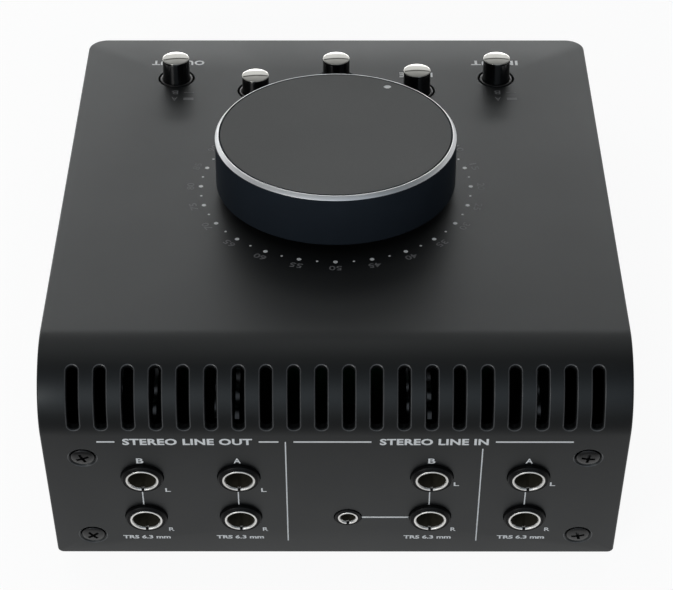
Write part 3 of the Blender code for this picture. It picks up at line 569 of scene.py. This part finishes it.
def makeKnob():
    top = knob["lift"] + knob["height"]
    recess = top - knob["recess"]
    ceiling = recess - knob["web"]
    inner = knob["radius"] - knob["wall"]
    crest = knob["radius"] - knob["chamferWidth"]
    rim = crest - knob["land"]
    profile = [
        (0, ceiling), (inner, ceiling), (inner, knob["lift"]),
        (knob["radius"] - knob["footRound"], knob["lift"]),
        (knob["radius"], knob["lift"] + knob["footRound"]),
        (knob["radius"], top - knob["chamferHeight"]),
        (crest, top), (rim, top), (rim, recess), (0, recess),
    ]
    shell = spun(profile, knob["steps"])
    softened(shell, knob["edgeRound"], 2, limit=25)
    for face in shell.faces:
        middle = face.calc_center_median()
        reach = math.hypot(middle.x, middle.y)
        onChamfer = middle.z > top - knob["chamferHeight"] - micron and reach > rim + micron
        if onChamfer and face.normal.z > knob["chamferFacing"]:
            face.material_index = 1
    piece = addPiece("knobShell", shell, [knobSide, knobEdge], panelPlace, "knob")
    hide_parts("knob_shell")

    disc = rod(rim - knob["gap"], recess + knob["gap"], top, knob["steps"])
    softened(disc, knob["discEdge"], 2, limit=40)
    place = (-knob["pointerFromAxis"] * math.sin(knob["pointerAngle"]),
             -knob["pointerFromAxis"] * math.cos(knob["pointerAngle"]))
    floor = top - knob["pointerDepth"]
    dimple = moved(rod(knob["pointerRadius"], floor, top + knob["gap"], knob["pointerSteps"]), *place)
    disc = combined(disc, cuts=[dimple])
    # the disc's rounded edge and side wall take the knob's dark side finish: a painted shade that darkens
    # the gap line round the disc
    for face in disc.faces:
        middle = face.calc_center_median()
        if math.hypot(middle.x, middle.y) > rim - knob["gap"] - knob["discEdge"]:
            face.material_index = 1
    piece = addPiece("knobDisc", disc, [discSkin, knobSide], panelPlace, "knob", 12)
    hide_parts("knob_disc")
    low, reach = floor - knob["gap"], knob["pointerRadius"] - knob["pointerGap"]
    dot = spun([(0, low), (reach, low), (reach, floor + knob["pointerEdge"]),
                (0, floor + knob["pointerCrown"])], knob["pointerSteps"])
    addPiece("knobPointer", moved(dot, *place), [printInk], panelPlace, "knob")


makeKnob()
print("knob turned")


# Push buttons: gloss caps with bright domed tops, in a moulded guide

button = {
    "radius": 0.0036,
    "height": 0.0065,
    "dome": 0.00024,
    "domeSteps": 10,
    "rim": 0.0004,
    "gap": 0.00012,
    "capEdge": 0.00012,
    "topEdge": 0.00012,
    "flangeRadius": 0.0045,
    "flange": 0.001,
    "flangeDepth": 0.0041,
    "plungerRadius": 0.0019,
    "plungerLength": 0.006,
    "pegRadius": 0.0014,
    "pegLength": 0.002,
    "steps": 64,
}


def makeButtons():
    rimTop = button["height"] - button["dome"]
    rimLow = rimTop - button["rim"]
    capTop = rimLow - button["gap"]
    flangeLow = -button["flangeDepth"] - button["flange"]
    tip = flangeLow - button["plungerLength"]
    cap = spun([
        (0, tip), (button["plungerRadius"], tip),
        (button["plungerRadius"], flangeLow), (button["flangeRadius"], flangeLow),
        (button["flangeRadius"], -button["flangeDepth"]), (button["radius"], -button["flangeDepth"]),
        (button["radius"], capTop), (button["pegRadius"] + button["gap"], capTop),
        (button["pegRadius"] + button["gap"], rimLow - button["pegLength"] - button["gap"]),
        (0, rimLow - button["pegLength"] - button["gap"]),
    ], button["steps"])
    softened(cap, button["capEdge"], 2, limit=40)
    shares = [1 - step / button["domeSteps"] for step in range(1, button["domeSteps"])]
    dome = [(button["radius"] * share, rimTop + button["dome"] * (1 - share ** 2)) for share in shares]
    top = spun([
        (0, rimLow - button["pegLength"]), (button["pegRadius"], rimLow - button["pegLength"]),
        (button["pegRadius"], rimLow), (button["radius"], rimLow), (button["radius"], rimTop),
        *dome, (0, button["height"]),
    ], button["steps"])
    softened(top, button["topEdge"], 3, limit=50)
    for number, place in buttonPlaces.items():
        drop = highestIn(panelPlace, f"button_top_{number}") - button["height"]
        spot = spotOn(panelPlace, place, drop)
        body = f"button_{number}"
        piece = addPiece(f"buttonCap{number}", cap.copy(), [buttonGloss], spot, body)
        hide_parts(f"button_cap_{number}")
        piece = addPiece(f"buttonTop{number}", top.copy(), [chromeTop], spot, body)
        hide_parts(f"button_top_{number}")
    cap.free()
    top.free()


guide = {
    "margin": 0.0055,
    "plate": 0.0015,
    "depth": 0.0023,
    "corner": 0.002,
    "outer": 0.00436,
    "inner": 0.00376,
    "collarEdge": 0.00012,
    "steps": 64,
}


def makeGuide():
    places = buttonPlaces.values()
    reach = max(place.x for place in places) + guide["margin"]
    low = min(place.y for place in places) - guide["margin"]
    high = max(place.y for place in places) + guide["margin"]
    depth, thick, edge = guide["depth"], guide["plate"], guide["collarEdge"]
    plate = slab(-reach, reach, low, high, -depth - thick, -depth, guide["corner"])
    collars, drills = [], []
    for place in places:
        collar = rod(guide["outer"], -depth - thick / 2, 0, guide["steps"])
        softened(collar, edge, 2, limit=40, chosen=lambda spot: spot.z > -micron)
        collars.append(moved(collar, place.x, place.y))
        drill = spun([(0, -depth - thick * 2), (guide["inner"], -depth - thick * 2), (guide["inner"], -edge),
                      (guide["inner"] + edge * 2, edge), (0, edge)], guide["steps"])
        drills.append(moved(drill, place.x, place.y))
    strip = combined(plate, joins=[gathered(collars)], cuts=[gathered(drills)])
    piece = addPiece("buttonGuide", strip, [guideBlack], panelPlace, "chassis")
    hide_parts("button_guide")


makeButtons()
makeGuide()
print("buttons set")


# Jacks: moulded bodies with a round collar, and split bright sleeves in their mouths

jack = {
    "width": 0.0158,
    "height": 0.0144,
    "length": 0.028,
    "bodyRound": 0.0008,
    "behind": 0.0023,
    "collar": 0.005,
    "collarHeight": 0.0012,
    "collarRound": 0.0004,
    "collarLip": 0.00028,
    "groove": 0.00022,
    "grooveWidth": 0.00025,
    "bore": 0.00325,
    "boreDepth": 0.026,
    "sleeveWall": 0.00062,
    "sleeveLength": 0.007,
    "sleeveProud": 0.0001,
    "sleeveEdge": 0.00006,
    "sleeveMouth": 0.00019,
    "brightWall": 0.0004,
    "sleeveSlot": 0.0007,
    "slotDepth": 0.0007,
    "slotReach": 1.2,
    "gap": 0.00006,
    "steps": 80,
}
smallJack = dict(jack, width=0.011, height=0.01, collar=0.0032, collarHeight=0.0003, collarRound=0.00015,
                 collarLip=0.00015, groove=0.0001, grooveWidth=0.0002, bore=0.0018, boreDepth=0.015,
                 sleeveWall=0.0006, sleeveMouth=0.00018, brightWall=0.0005, sleeveLength=0.004)


def jackBody(sizes):
    front = -sizes["behind"]
    box = slab(-sizes["width"] / 2, sizes["width"] / 2, -sizes["height"] / 2, sizes["height"] / 2,
               front - sizes["length"], front, sizes["bodyRound"], 4)
    top = sizes["collarHeight"]
    outer = sizes["bore"] + sizes["sleeveWall"] + sizes["gap"]
    deep = front - sizes["sleeveWall"]
    lipOut = outer + sizes["collarLip"]
    groove, width = sizes["groove"], sizes["grooveWidth"]
    ring = spun([
        (0, deep), (sizes["collar"], deep), (sizes["collar"], top - sizes["collarRound"]),
        (sizes["collar"] - sizes["collarRound"], top - groove / 4), (lipOut + width, top - groove),
        (lipOut + groove / 2, top - groove), (lipOut, top), (0, top),
    ], sizes["steps"])
    softened(ring, sizes["collarRound"] / 10, 2, limit=20, chosen=lambda spot: spot.z > 0)
    floor, shelf = top - sizes["boreDepth"], top - sizes["sleeveLength"] - sizes["gap"]
    drill = spun([(0, floor), (sizes["bore"], floor), (sizes["bore"], shelf), (outer, shelf),
                  (outer, top + sizes["groove"]), (0, top + sizes["groove"])], sizes["steps"])
    return combined(box, joins=[ring], cuts=[drill])


def jackSleeve(sizes):
    # a bright ring at the mouth that goes over into a dark bore
    top = sizes["collarHeight"] + sizes["sleeveProud"]
    inner, outer, bright = sizes["bore"], sizes["bore"] + sizes["sleeveWall"], sizes["brightWall"]
    low, edge, mouth = top - sizes["sleeveLength"], sizes["sleeveEdge"], inner + sizes["sleeveMouth"]
    tube = spun([
        (inner, low), (outer, low), (outer, top - edge), (outer - edge, top),
        (mouth + edge, top), (mouth, top - edge), (inner, top - bright),
    ], sizes["steps"])
    for face in tube.faces:
        middle = face.calc_center_median()
        if middle.z < top - bright and math.hypot(middle.x, middle.y) < inner + edge:
            face.material_index = 1
    half = sizes["sleeveSlot"] / 2
    notch = slab(-half, half, -outer * sizes["slotReach"], 0, top - sizes["slotDepth"], top + bright)
    return combined(tube, cuts=[notch], slots=2)


contact = {
    "asides": (-0.0056, -0.0005, 0.0027),
    "widths": (0.0006, 0.001, 0.0008),
    "phases": (0.2, 0.65, 0.35),
    "length": 0.0175,
    "behind": 0.0203,
    "thickness": 0.0003,
    "hump": 0.0012,
    "humps": 3,
    "bends": 36,
    "sunk": 0.00005,
}


def contactSprings():
    # three wavy strips that lie along the top of a jack's body
    strips = []
    for aside, width, phase in zip(contact["asides"], contact["widths"], contact["phases"]):
        strip = bmesh.new()
        bmesh.ops.create_grid(strip, x_segments=1, y_segments=contact["bends"], size=0.5)
        bmesh.ops.scale(strip, verts=strip.verts, vec=(width, contact["length"], 1))
        for vert in strip.verts:
            turns = vert.co.y / contact["length"] * contact["humps"] + phase
            vert.co.z = contact["hump"] * (1 - math.cos(2 * math.pi * turns)) / 2
        bmesh.ops.recalc_face_normals(strip, faces=strip.faces)
        bmesh.ops.solidify(strip, geom=strip.faces[:], thickness=contact["thickness"])
        bmesh.ops.recalc_face_normals(strip, faces=strip.faces)
        strips.append(moved(strip, aside, 0, -min(vert.co.z for vert in strip.verts)))
    springs = turned(gathered(strips), -math.pi / 2, "X")
    return moved(springs, 0, jack["height"] / 2 - contact["sunk"], -contact["behind"])


def makeJacks():
    bright = [nickelSleeve, boreBlack]
    body, sleeve, springs = jackBody(jack), jackSleeve(jack), contactSprings()
    for name in jackNames:
        place = middleIn(rearPlace, f"jack_sleeve_{name}")
        spot = spotOn(rearPlace, place)
        piece = addPiece(f"jackBody_{name}", body.copy(), [jackBlack], spot, "chassis")
        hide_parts(f"jack_body_{name}")
        piece = addPiece(f"jackSleeve_{name}", sleeve.copy(), bright, spot, "chassis")
        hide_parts(f"jack_sleeve_{name}")
        if name.endswith("left"):
            addPiece(f"jackSprings_{name}", springs.copy(), [zincSteel], spot, "chassis")
    for part in (body, sleeve, springs):
        part.free()
    spot = spotOn(rearPlace, smallJackPlace)
    piece = addPiece("smallJackBody", jackBody(smallJack), [jackBlack], spot, "chassis")
    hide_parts("mini_jack_body")
    piece = addPiece("smallJackSleeve", jackSleeve(smallJack), bright, spot, "chassis")
    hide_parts("mini_jack_sleeve")


makeJacks()
print("jacks set")


# Rear screws and feet

screw = {
    "head": 0.00298,
    "headDepth": 0.0019,
    "dome": 0.0003,
    "shank": 0.0015,
    "length": 0.0085,
    "crossArm": 0.0032,
    "crossWidth": 0.0007,
    "crossDepth": 0.0009,
    # shares of the head's radius and of the dome's height, from the rim to the middle
    "crown": [(0.85, 0.1), (0.6, 0.55), (0.3, 0.9)],
    "steps": 64,
    "turns": {"lower_left": 38, "lower_right": 12, "upper_left": 24, "upper_right": -8},
}


def crossTool():
    top, deep = screw["dome"] * 2, screw["dome"] - screw["crossDepth"]
    bars = []
    for wide, long in ((screw["crossWidth"], screw["crossArm"]), (screw["crossArm"], screw["crossWidth"])):
        bars.append(slab(-wide / 2, wide / 2, -long / 2, long / 2, deep, top))
    return bars


def makeScrews():
    rim = -screw["dome"]
    lean = (screw["head"] - screw["shank"]) / screw["headDepth"]
    profile = [
        (0, -screw["length"]), (screw["shank"] - screw["dome"], -screw["length"]),
        (screw["shank"], -screw["length"] + screw["dome"]), (screw["shank"], -screw["headDepth"]),
        (screw["head"] + lean * rim, rim), (screw["head"] + lean * rim, rim / 2),
        *((screw["head"] * wide, screw["dome"] * high) for wide, high in screw["crown"]), (0, screw["dome"]),
    ]
    head = combined(spun(profile, screw["steps"]), cuts=crossTool())
    for name in screwNames:
        place = middleIn(rearPlace, f"rear_screw_{name}")
        turn = Matrix.Rotation(math.radians(screw["turns"][name]), 4, "Z")
        spot = spotOn(rearPlace, place) @ turn
        piece = addPiece(f"rearScrew_{name}", head.copy(), [screwBlack], spot, "chassis")
        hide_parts(f"rear_screw_{name}")
    head.free()


foot = {
    "radius": 0.0062,
    "base": 0.0056,
    "edge": 0.00048,
    "steps": 56,
    "stem": 0.002,
    "barb": 0.003,
    "barbHeight": 0.002,
    "floor": 0.0012,
    "gap": 0.0003,
}


def makeFeet():
    padTop = coverLow.z - foot["gap"]
    barbLow = coverLow.z + foot["floor"] + foot["gap"]
    tip = barbLow + foot["barbHeight"]
    profile = [
        (0, 0), (foot["base"], 0), (foot["radius"], padTop), (foot["stem"], padTop),
        (foot["stem"], barbLow), (foot["barb"], barbLow), (foot["stem"] / 2, tip), (0, tip),
    ]
    pad = spun(profile, foot["steps"])
    softened(pad, foot["edge"], 4, limit=60, chosen=lambda spot: spot.z < padTop + micron)
    for name in footNames:
        spot = spotOn(Matrix(), middleIn(Matrix(), f"foot_{name}"))
        piece = addPiece(f"rubberFoot_{name}", pad.copy(), [rubberSkin], spot, "chassis")
        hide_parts(f"foot_{name}")
    pad.free()


makeScrews()
makeFeet()
print("screws and feet set")


# Printed marks: dial, button labels, and the rear panel's lines and words

ink = {
    "proud": 0.000018,
    "sunk": 0.000006,
    "dotRadius": 0.0341,
    "dotBig": 0.00056,
    "dotSmall": 0.0003,
    "dotSteps": 20,
    "numberWeight": 0.012,
    "numberRadius": 0.0367,
    "numberTall": 0.00185,
    "digitWide": 0.00155,
    "dialSpan": math.radians(300),
    "dialSteps": 40,
}


def wordMesh(text, tall, wide, weight=0.0, spacing=1.0):
    # flat lettering in the built-in face, fitted to a height and width, as a thin closed mesh
    curve = bpy.data.curves.new("word", "FONT")
    curve.body = text
    curve.size = tall
    curve.offset = weight * tall
    curve.space_character = spacing
    curve.resolution_u = 3
    curve.extrude = (ink["proud"] + ink["sunk"]) / 2
    word = newObject("word", curve)
    bpy.context.view_layer.update()
    mesh = bpy.data.meshes.new_from_object(word.evaluated_get(bpy.context.evaluated_depsgraph_get()))
    bpy.data.objects.remove(word)
    bm = bmesh.new()
    bm.from_mesh(mesh)
    bpy.data.meshes.remove(mesh)
    bmesh.ops.remove_doubles(bm, verts=bm.verts, dist=micron / 10)
    across = [v.co.x for v in bm.verts]
    upward = [v.co.y for v in bm.verts]
    moved(bm, -(min(across) + max(across)) / 2, -(min(upward) + max(upward)) / 2,
          (ink["proud"] - ink["sunk"]) / 2)
    fit = (wide / (max(across) - min(across)), tall / (max(upward) - min(upward)), 1)
    bmesh.ops.scale(bm, verts=bm.verts, vec=fit)
    return bm


def stroke(start, end, width):
    # a straight printed line between two points
    start, end = Vector(start), Vector(end)
    along = end - start
    line = slab(0, along.length, -width / 2, width / 2, -ink["sunk"], ink["proud"])
    turned(line, math.atan2(along.y, along.x), "Z")
    return moved(line, start.x, start.y)


def makeDial():
    dots, numbers = [], []
    for step in range(ink["dialSteps"] + 1):
        angle = -math.pi / 2 - (math.pi - ink["dialSpan"] / 2) - ink["dialSpan"] * step / ink["dialSteps"]
        out = Vector((math.cos(angle), math.sin(angle)))
        size = ink["dotSmall"] if step % 2 else ink["dotBig"]
        dots.append(moved(rod(size, -ink["sunk"], ink["proud"], ink["dotSteps"]), *(out * ink["dotRadius"])))
        if step % 2:
            continue
        value = str(step * 100 // ink["dialSteps"])
        word = wordMesh(value, ink["numberTall"], ink["digitWide"] * len(value), ink["numberWeight"])
        turned(word, angle - math.pi / 2, "Z")
        numbers.append(moved(word, *(out * ink["numberRadius"])))
    addPiece("dialDots", gathered(dots), [panelInk], panelPlace, "chassis")
    addPiece("dialNumbers", gathered(numbers), [faintInk], panelPlace, "chassis")


labels = {
    "tall": 0.00245,
    "belowButton": 0.0085,
    "lightWeight": 0.006,
    "boldWeight": 0.036,
    "spacing": 1.1,
    "words": {1: ("INPUT", 0.0128), 2: ("MUTE", 0.009), 3: ("DIM", 0.006), 4: ("L+R", 0.0056),
              5: ("OUTPUT", 0.0143)},
    "stateFrom": 0.0076,
    "stateStep": 0.0034,
    "stateTall": 0.0019,
    "stateWide": 0.0016,
    "barAside": 0.0051,
    "barLength": 0.0027,
    "thinBar": 0.0003,
    "thickBar": 0.0012,
}


def makeButtonLabels():
    words, marks = [], []
    for number, place in buttonPlaces.items():
        text, wide = labels["words"][number]
        weight = labels["lightWeight" if "M" in text else "boldWeight"]
        word = wordMesh(text, labels["tall"], wide, weight, labels["spacing"])
        words.append(moved(word, place.x, place.y - labels["belowButton"]))
        if number not in (1, 5):
            continue
        for row, letter in enumerate("BA"):
            height = place.y + labels["stateFrom"] + row * labels["stateStep"]
            marks.append(moved(wordMesh(letter, labels["stateTall"], labels["stateWide"]), place.x, height))
            width = labels["thinBar"] if row == 0 else labels["thickBar"]
            left = place.x - labels["barAside"]
            marks.append(stroke((left, height), (left + labels["barLength"], height), width))
    addPiece("buttonWords", gathered(words), [panelInk], panelPlace, "chassis")
    addPiece("buttonMarks", gathered(marks), [faintInk], panelPlace, "chassis")


# Places on the rear panel, in metres: x to the right of the middle, y above the lower edge
rearPrint = {
    "headingHeight": 0.0467,
    "headingTall": 0.0025,
    "headingSpacing": 1.05,
    "headingWeight": 0.035,
    "noteWeight": 0.035,
    "letterWeight": 0.02,
    "headings": [("STEREO LINE OUT", -0.0344, 0.0302), ("STEREO LINE IN", 0.023, 0.0253)],
    "rule": 0.00029,
    "levelRule": 0.00054,
    "rules": [(-0.0555, -0.0513), (-0.0178, -0.0132), (-0.0097, 0.0084), (0.0373, 0.0554)],
    "dividers": [(-0.0116, 0.0053, 0.0467), (0.0344, 0.0053, 0.044)],
    "letterAside": -0.0002,
    "letterRise": 0.0066,
    "letterTall": 0.002,
    "letterWide": 0.0017,
    "sideLetters": {"left": (0.0058, -0.0054), "right": (0.0058, -0.0055)},
    "inputSideLetters": {"left": (0.0059, -0.0029), "right": (0.0058, -0.0055)},
    "sideTall": 0.0015,
    "sideWide": 0.0013,
    "note": "TRS 6.3 mm",
    "noteDrop": 0.0089,
    "noteTall": 0.0015,
    "noteWide": 0.0116,
    "noteAside": -0.00045,
    "linkAside": -0.00035,
    "linkGap": 0.0002,
}


def makeRearPrint():
    words, lines = [], []
    for text, x, wide in rearPrint["headings"]:
        word = wordMesh(text, rearPrint["headingTall"], wide, rearPrint["headingWeight"],
                        rearPrint["headingSpacing"])
        words.append(moved(word, x, rearPrint["headingHeight"]))
    for low, high in rearPrint["rules"]:
        level = rearPrint["headingHeight"]
        lines.append(stroke((low, level), (high, level), rearPrint["levelRule"]))
    for x, low, high in rearPrint["dividers"]:
        lines.append(stroke((x, low), (x, high), rearPrint["rule"]))
    middles = {name: middleIn(rearPlace, f"jack_sleeve_{name}") for name in jackNames}
    for name, place in middles.items():
        group, side = name.rsplit("_", 1)
        asides = rearPrint["inputSideLetters" if group.startswith("in") else "sideLetters"]
        x, y = place.x + asides[side][0], place.y + asides[side][1]
        letter = "L" if side == "left" else "R"
        word = wordMesh(letter, rearPrint["sideTall"], rearPrint["sideWide"], rearPrint["letterWeight"])
        words.append(moved(word, x, y))
        if side == "left":
            word = wordMesh(group[-1].upper(), rearPrint["letterTall"], rearPrint["letterWide"],
                            rearPrint["letterWeight"])
            words.append(moved(word, place.x + rearPrint["letterAside"], place.y + rearPrint["letterRise"]))
            lower = middles[f"{group}_right"].y + jack["collar"] + rearPrint["linkGap"]
            upper = place.y - jack["collar"] - rearPrint["linkGap"]
            aside = place.x + rearPrint["linkAside"]
            lines.append(stroke((aside, lower), (aside, upper), rearPrint["rule"]))
        else:
            word = wordMesh(rearPrint["note"], rearPrint["noteTall"], rearPrint["noteWide"],
                            rearPrint["noteWeight"])
            words.append(moved(word, place.x + rearPrint["noteAside"], place.y - rearPrint["noteDrop"]))
    start = smallJackPlace.x + smallJack["collar"] + rearPrint["linkGap"]
    end = middles["in_b_right"].x - jack["collar"] - rearPrint["linkGap"]
    lines.append(stroke((start, smallJackPlace.y), (end, smallJackPlace.y), rearPrint["levelRule"]))
    addPiece("rearWords", gathered(words), [printInk], rearPlace, "chassis")
    addPiece("rearLines", gathered(lines), [printInk], rearPlace, "chassis")


makeDial()
makeButtonLabels()
makeRearPrint()
print("dial and labels printed")


# Carried-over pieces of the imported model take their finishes

finishes = {
    "base_tray": trayPaint,
    "control_board": boardGreen,
    "jack_board": boardGreen,
    "ribbon_cable": ribbonGrey,
    "knob_core": mouldedBlack,
    **{f"pot_{part}": zincSteel for part in ("body", "washer", "nut", "shaft")},
    **{f"board_screw_{number}": zincSteel for number in range(1, 5)},
    **{f"switch_body_{number}": mouldedBlack for number in buttonNumbers},
}
for nodeName, finish in finishes.items():
    node = frame["nodes"][nodeName]
    node.data.materials.clear()
    node.data.materials.append(finish)
print("finishes given")


# Floor, light and camera

studio = {
    "floorHalf": 3.0,
    "floorShare": 0.855,
    "floorColour": (0.86, 0.86, 0.86),
    "background": 1.083,
    "mirrored": 0.8,
    "nearEdge": 0.085,
    "farEdge": 0.16,
    "beyond": 0.1,
    "wallTint": (0.99, 1.0, 1.0),
    "cameraSideTint": (0.86, 0.96, 1.06),
    # angle from the low back wall over the top to the camera's side, and the glow there
    "glow": [(0, 7.1), (3.2, 6.5), (4.4, 1.3), (11, 1.24), (14.4, 1.16), (14.6, 0.16), (16.8, 0.16),
             (17, 0.74), (24, 0.52), (31, 0.26), (36, 0.16), (42, 0.34), (49, 0.82), (56, 0.78),
             (66, 0.58), (80, 0.32), (95, 0.14), (105, 0.12), (116, 0.22), (124, 0.32), (133, 0.4),
             (140, 0.74), (146, 0.86), (152, 0.88), (159, 0.75), (168, 0.45), (180, 0.36)],
    # beyond this angle the glow has the camera side's tint
    "overhead": 100,
    "towardLeft": 0.3,
    "middleAside": 0.12,
    "aheadOnly": 0.35,
    "wideOnly": 0.8,
    "sideShare": 0.22,
    # a pale wall all round, as high as the sine of this angle
    "wallGlow": 0.8,
    "wallFull": 0.04,
    "wallTop": 0.1,
    "keyPower": 2.2,
    "keySize": 0.4,
    "keyTint": (1.0, 0.985, 0.96),
    "aimHeight": 0.04,
    "keyPlace": (0.62, 0.9, 0.52),
    "sidePower": 0.3,
    "sideSize": 1.00,
    "sidePlace": (0.8, -0.7, 0.55),
}


def mathOn(tree, operation, first, second):
    # either side may be a socket or a number
    return newNode(tree, "Math", {0: first, 1: second}, operation=operation).outputs["Value"]


def blended(tree, kind, first, second):
    mix = newNode(tree, "Mix", {"Factor": 1, "A": first, "B": second}, data_type="RGBA", blend_type=kind)
    return mix.outputs["Result"]


def smoothly(tree, value, start, end, low, high):
    # low up to start, high from end on
    inputs = {"Value": value, "From Min": start, "From Max": end, "To Min": low, "To Max": high}
    return newNode(tree, "MapRange", inputs, interpolation_type="SMOOTHSTEP").outputs["Result"]


def showMix(tree, share, first, second, target):
    mix = newNode(tree, "MixShader", {"Fac": share, 1: first.outputs[0], 2: second.outputs[0]})
    feed(tree, tree.nodes[target], {"Surface": mix.outputs["Shader"]})


def seenByRays(tree):
    # one for the camera, for reflections and for light that goes through
    path = newNode(tree, "LightPath", {})
    seen = mathOn(tree, "MAXIMUM", path.outputs["Is Camera Ray"], path.outputs["Is Glossy Ray"])
    return path.outputs["Is Camera Ray"], mathOn(tree, "MAXIMUM", seen, path.outputs["Is Transmission Ray"])


def makeFloor():
    bm = bmesh.new()
    bmesh.ops.create_grid(bm, x_segments=1, y_segments=1, size=studio["floorHalf"])
    floor = newObject("floor", meshFrom(bm, "floor"))
    material, tree, shader = startMaterial("floorPale", studio["floorColour"], 0.9)
    feed(tree, shader, {"Specular IOR Level": 0})
    glow = newNode(tree, "Emission", {"Color": (1, 1, 1, 1)})
    direct, seen = seenByRays(tree)
    # the part of the floor nearest the camera, outside the picture, is dim in reflections
    apart = newNode(tree, "SeparateXYZ", {"Vector": objectPlace(tree)})
    fade = smoothly(tree, apart.outputs["Y"], studio["nearEdge"], studio["farEdge"],
                    studio["mirrored"], studio["beyond"])
    full = mathOn(tree, "MULTIPLY", direct, studio["background"])
    feed(tree, glow, {"Strength": mathOn(tree, "MAXIMUM", full, fade)})
    share = mathOn(tree, "MULTIPLY", seen, studio["floorShare"])
    showMix(tree, share, shader, glow, "Material Output")
    floor.data.materials.append(material)


def makeWorld():
    # a plain studio: a pale wall low behind the object, a dim ceiling, and white for the camera
    world = bpy.data.worlds.new("studio")
    world.use_nodes = True
    bpy.context.scene.world = world
    tree = world.node_tree
    room = tree.nodes["Background"]
    apart = newNode(tree, "SeparateXYZ", {"Vector": newNode(tree, "TexCoord", {}).outputs["Generated"]})
    leaning = mathOn(tree, "MULTIPLY", apart.outputs["X"], studio["towardLeft"])
    back = mathOn(tree, "SUBTRACT", leaning, apart.outputs["Y"])
    up = mathOn(tree, "MAXIMUM", apart.outputs["Z"], 0.0)
    angle = mathOn(tree, "ARCTAN2", up, back)
    ramp = newNode(tree, "ValToRGB", {})
    brightest = max(glow for degrees, glow in studio["glow"])
    stops = ramp.color_ramp.elements
    while len(stops) < len(studio["glow"]):
        stops.new(1.0)
    for stop, (degrees, glow) in zip(stops, studio["glow"]):
        tint = studio["wallTint" if degrees < studio["overhead"] else "cameraSideTint"]
        stop.position = degrees / 180
        stop.color = [glow / brightest * part for part in tint] + [1]
    feed(tree, ramp, {"Fac": mathOn(tree, "DIVIDE", angle, math.pi)})
    wall = smoothly(tree, up, studio["wallFull"], studio["wallTop"], studio["wallGlow"] / brightest, 0)
    aside = mathOn(tree, "SUBTRACT", apart.outputs["X"], studio["middleAside"])
    aside = mathOn(tree, "ABSOLUTE", aside, 0)
    sideways = smoothly(tree, aside, studio["aheadOnly"], studio["wideOnly"], 1, studio["sideShare"])
    dimmer = blended(tree, "MULTIPLY", ramp.outputs["Color"], sideways)
    feed(tree, room, {"Color": blended(tree, "LIGHTEN", dimmer, wall), "Strength": brightest})
    white = newNode(tree, "Background", {"Color": (1, 1, 1, 1)})
    path = newNode(tree, "LightPath", {})
    through = mathOn(tree, "MAXIMUM", path.outputs["Is Camera Ray"], path.outputs["Is Transmission Ray"])
    showMix(tree, through, room, white, "World Output")


def addLamp(name, spot, aim, power, size, colour):
    lamp = bpy.data.lights.new(name, "AREA")
    lamp.shape = "DISK"
    lamp.size = size
    lamp.energy = power
    lamp.color = colour
    holder = newObject(name, lamp)
    holder.location = spot
    holder.rotation_euler = (Vector(aim) - Vector(spot)).to_track_quat("-Z", "Y").to_euler()


def makeLights():
    middle = (0, 0, studio["aimHeight"])
    addLamp("keyLamp", studio["keyPlace"], middle, studio["keyPower"], studio["keySize"], studio["keyTint"])
    across, along, height = studio["sidePlace"]
    power, size = studio["sidePower"], studio["sideSize"]
    for name, side in (("leftLamp", 1), ("rightLamp", -1)):
        addLamp(name, (side * across, along, height), middle, power, size, (1, 1, 1))


camera = {
    "place": (-0.001327, 0.404044, 0.508231),
    "pitch": math.radians(50.885),
    "turn": math.radians(180.17),
    "roll": math.radians(-0.111),
    "lens": 129.6,
    "sensor": 36.0,
}


def makeCamera():
    lens = bpy.data.cameras.new("camera")
    lens.lens = camera["lens"]
    lens.sensor_width = camera["sensor"]
    holder = newObject("camera", lens)
    holder.location = camera["place"]
    turn = Matrix.Rotation(camera["turn"], 3, "Z") @ Matrix.Rotation(math.pi / 2 - camera["pitch"], 3, "X")
    holder.rotation_euler = (turn @ Matrix.Rotation(camera["roll"], 3, "Z")).to_euler()
    bpy.context.scene.camera = holder


makeFloor()
makeWorld()
makeLights()
makeCamera()
bpy.context.scene.view_settings.view_transform = "Standard"
print("studio lit")
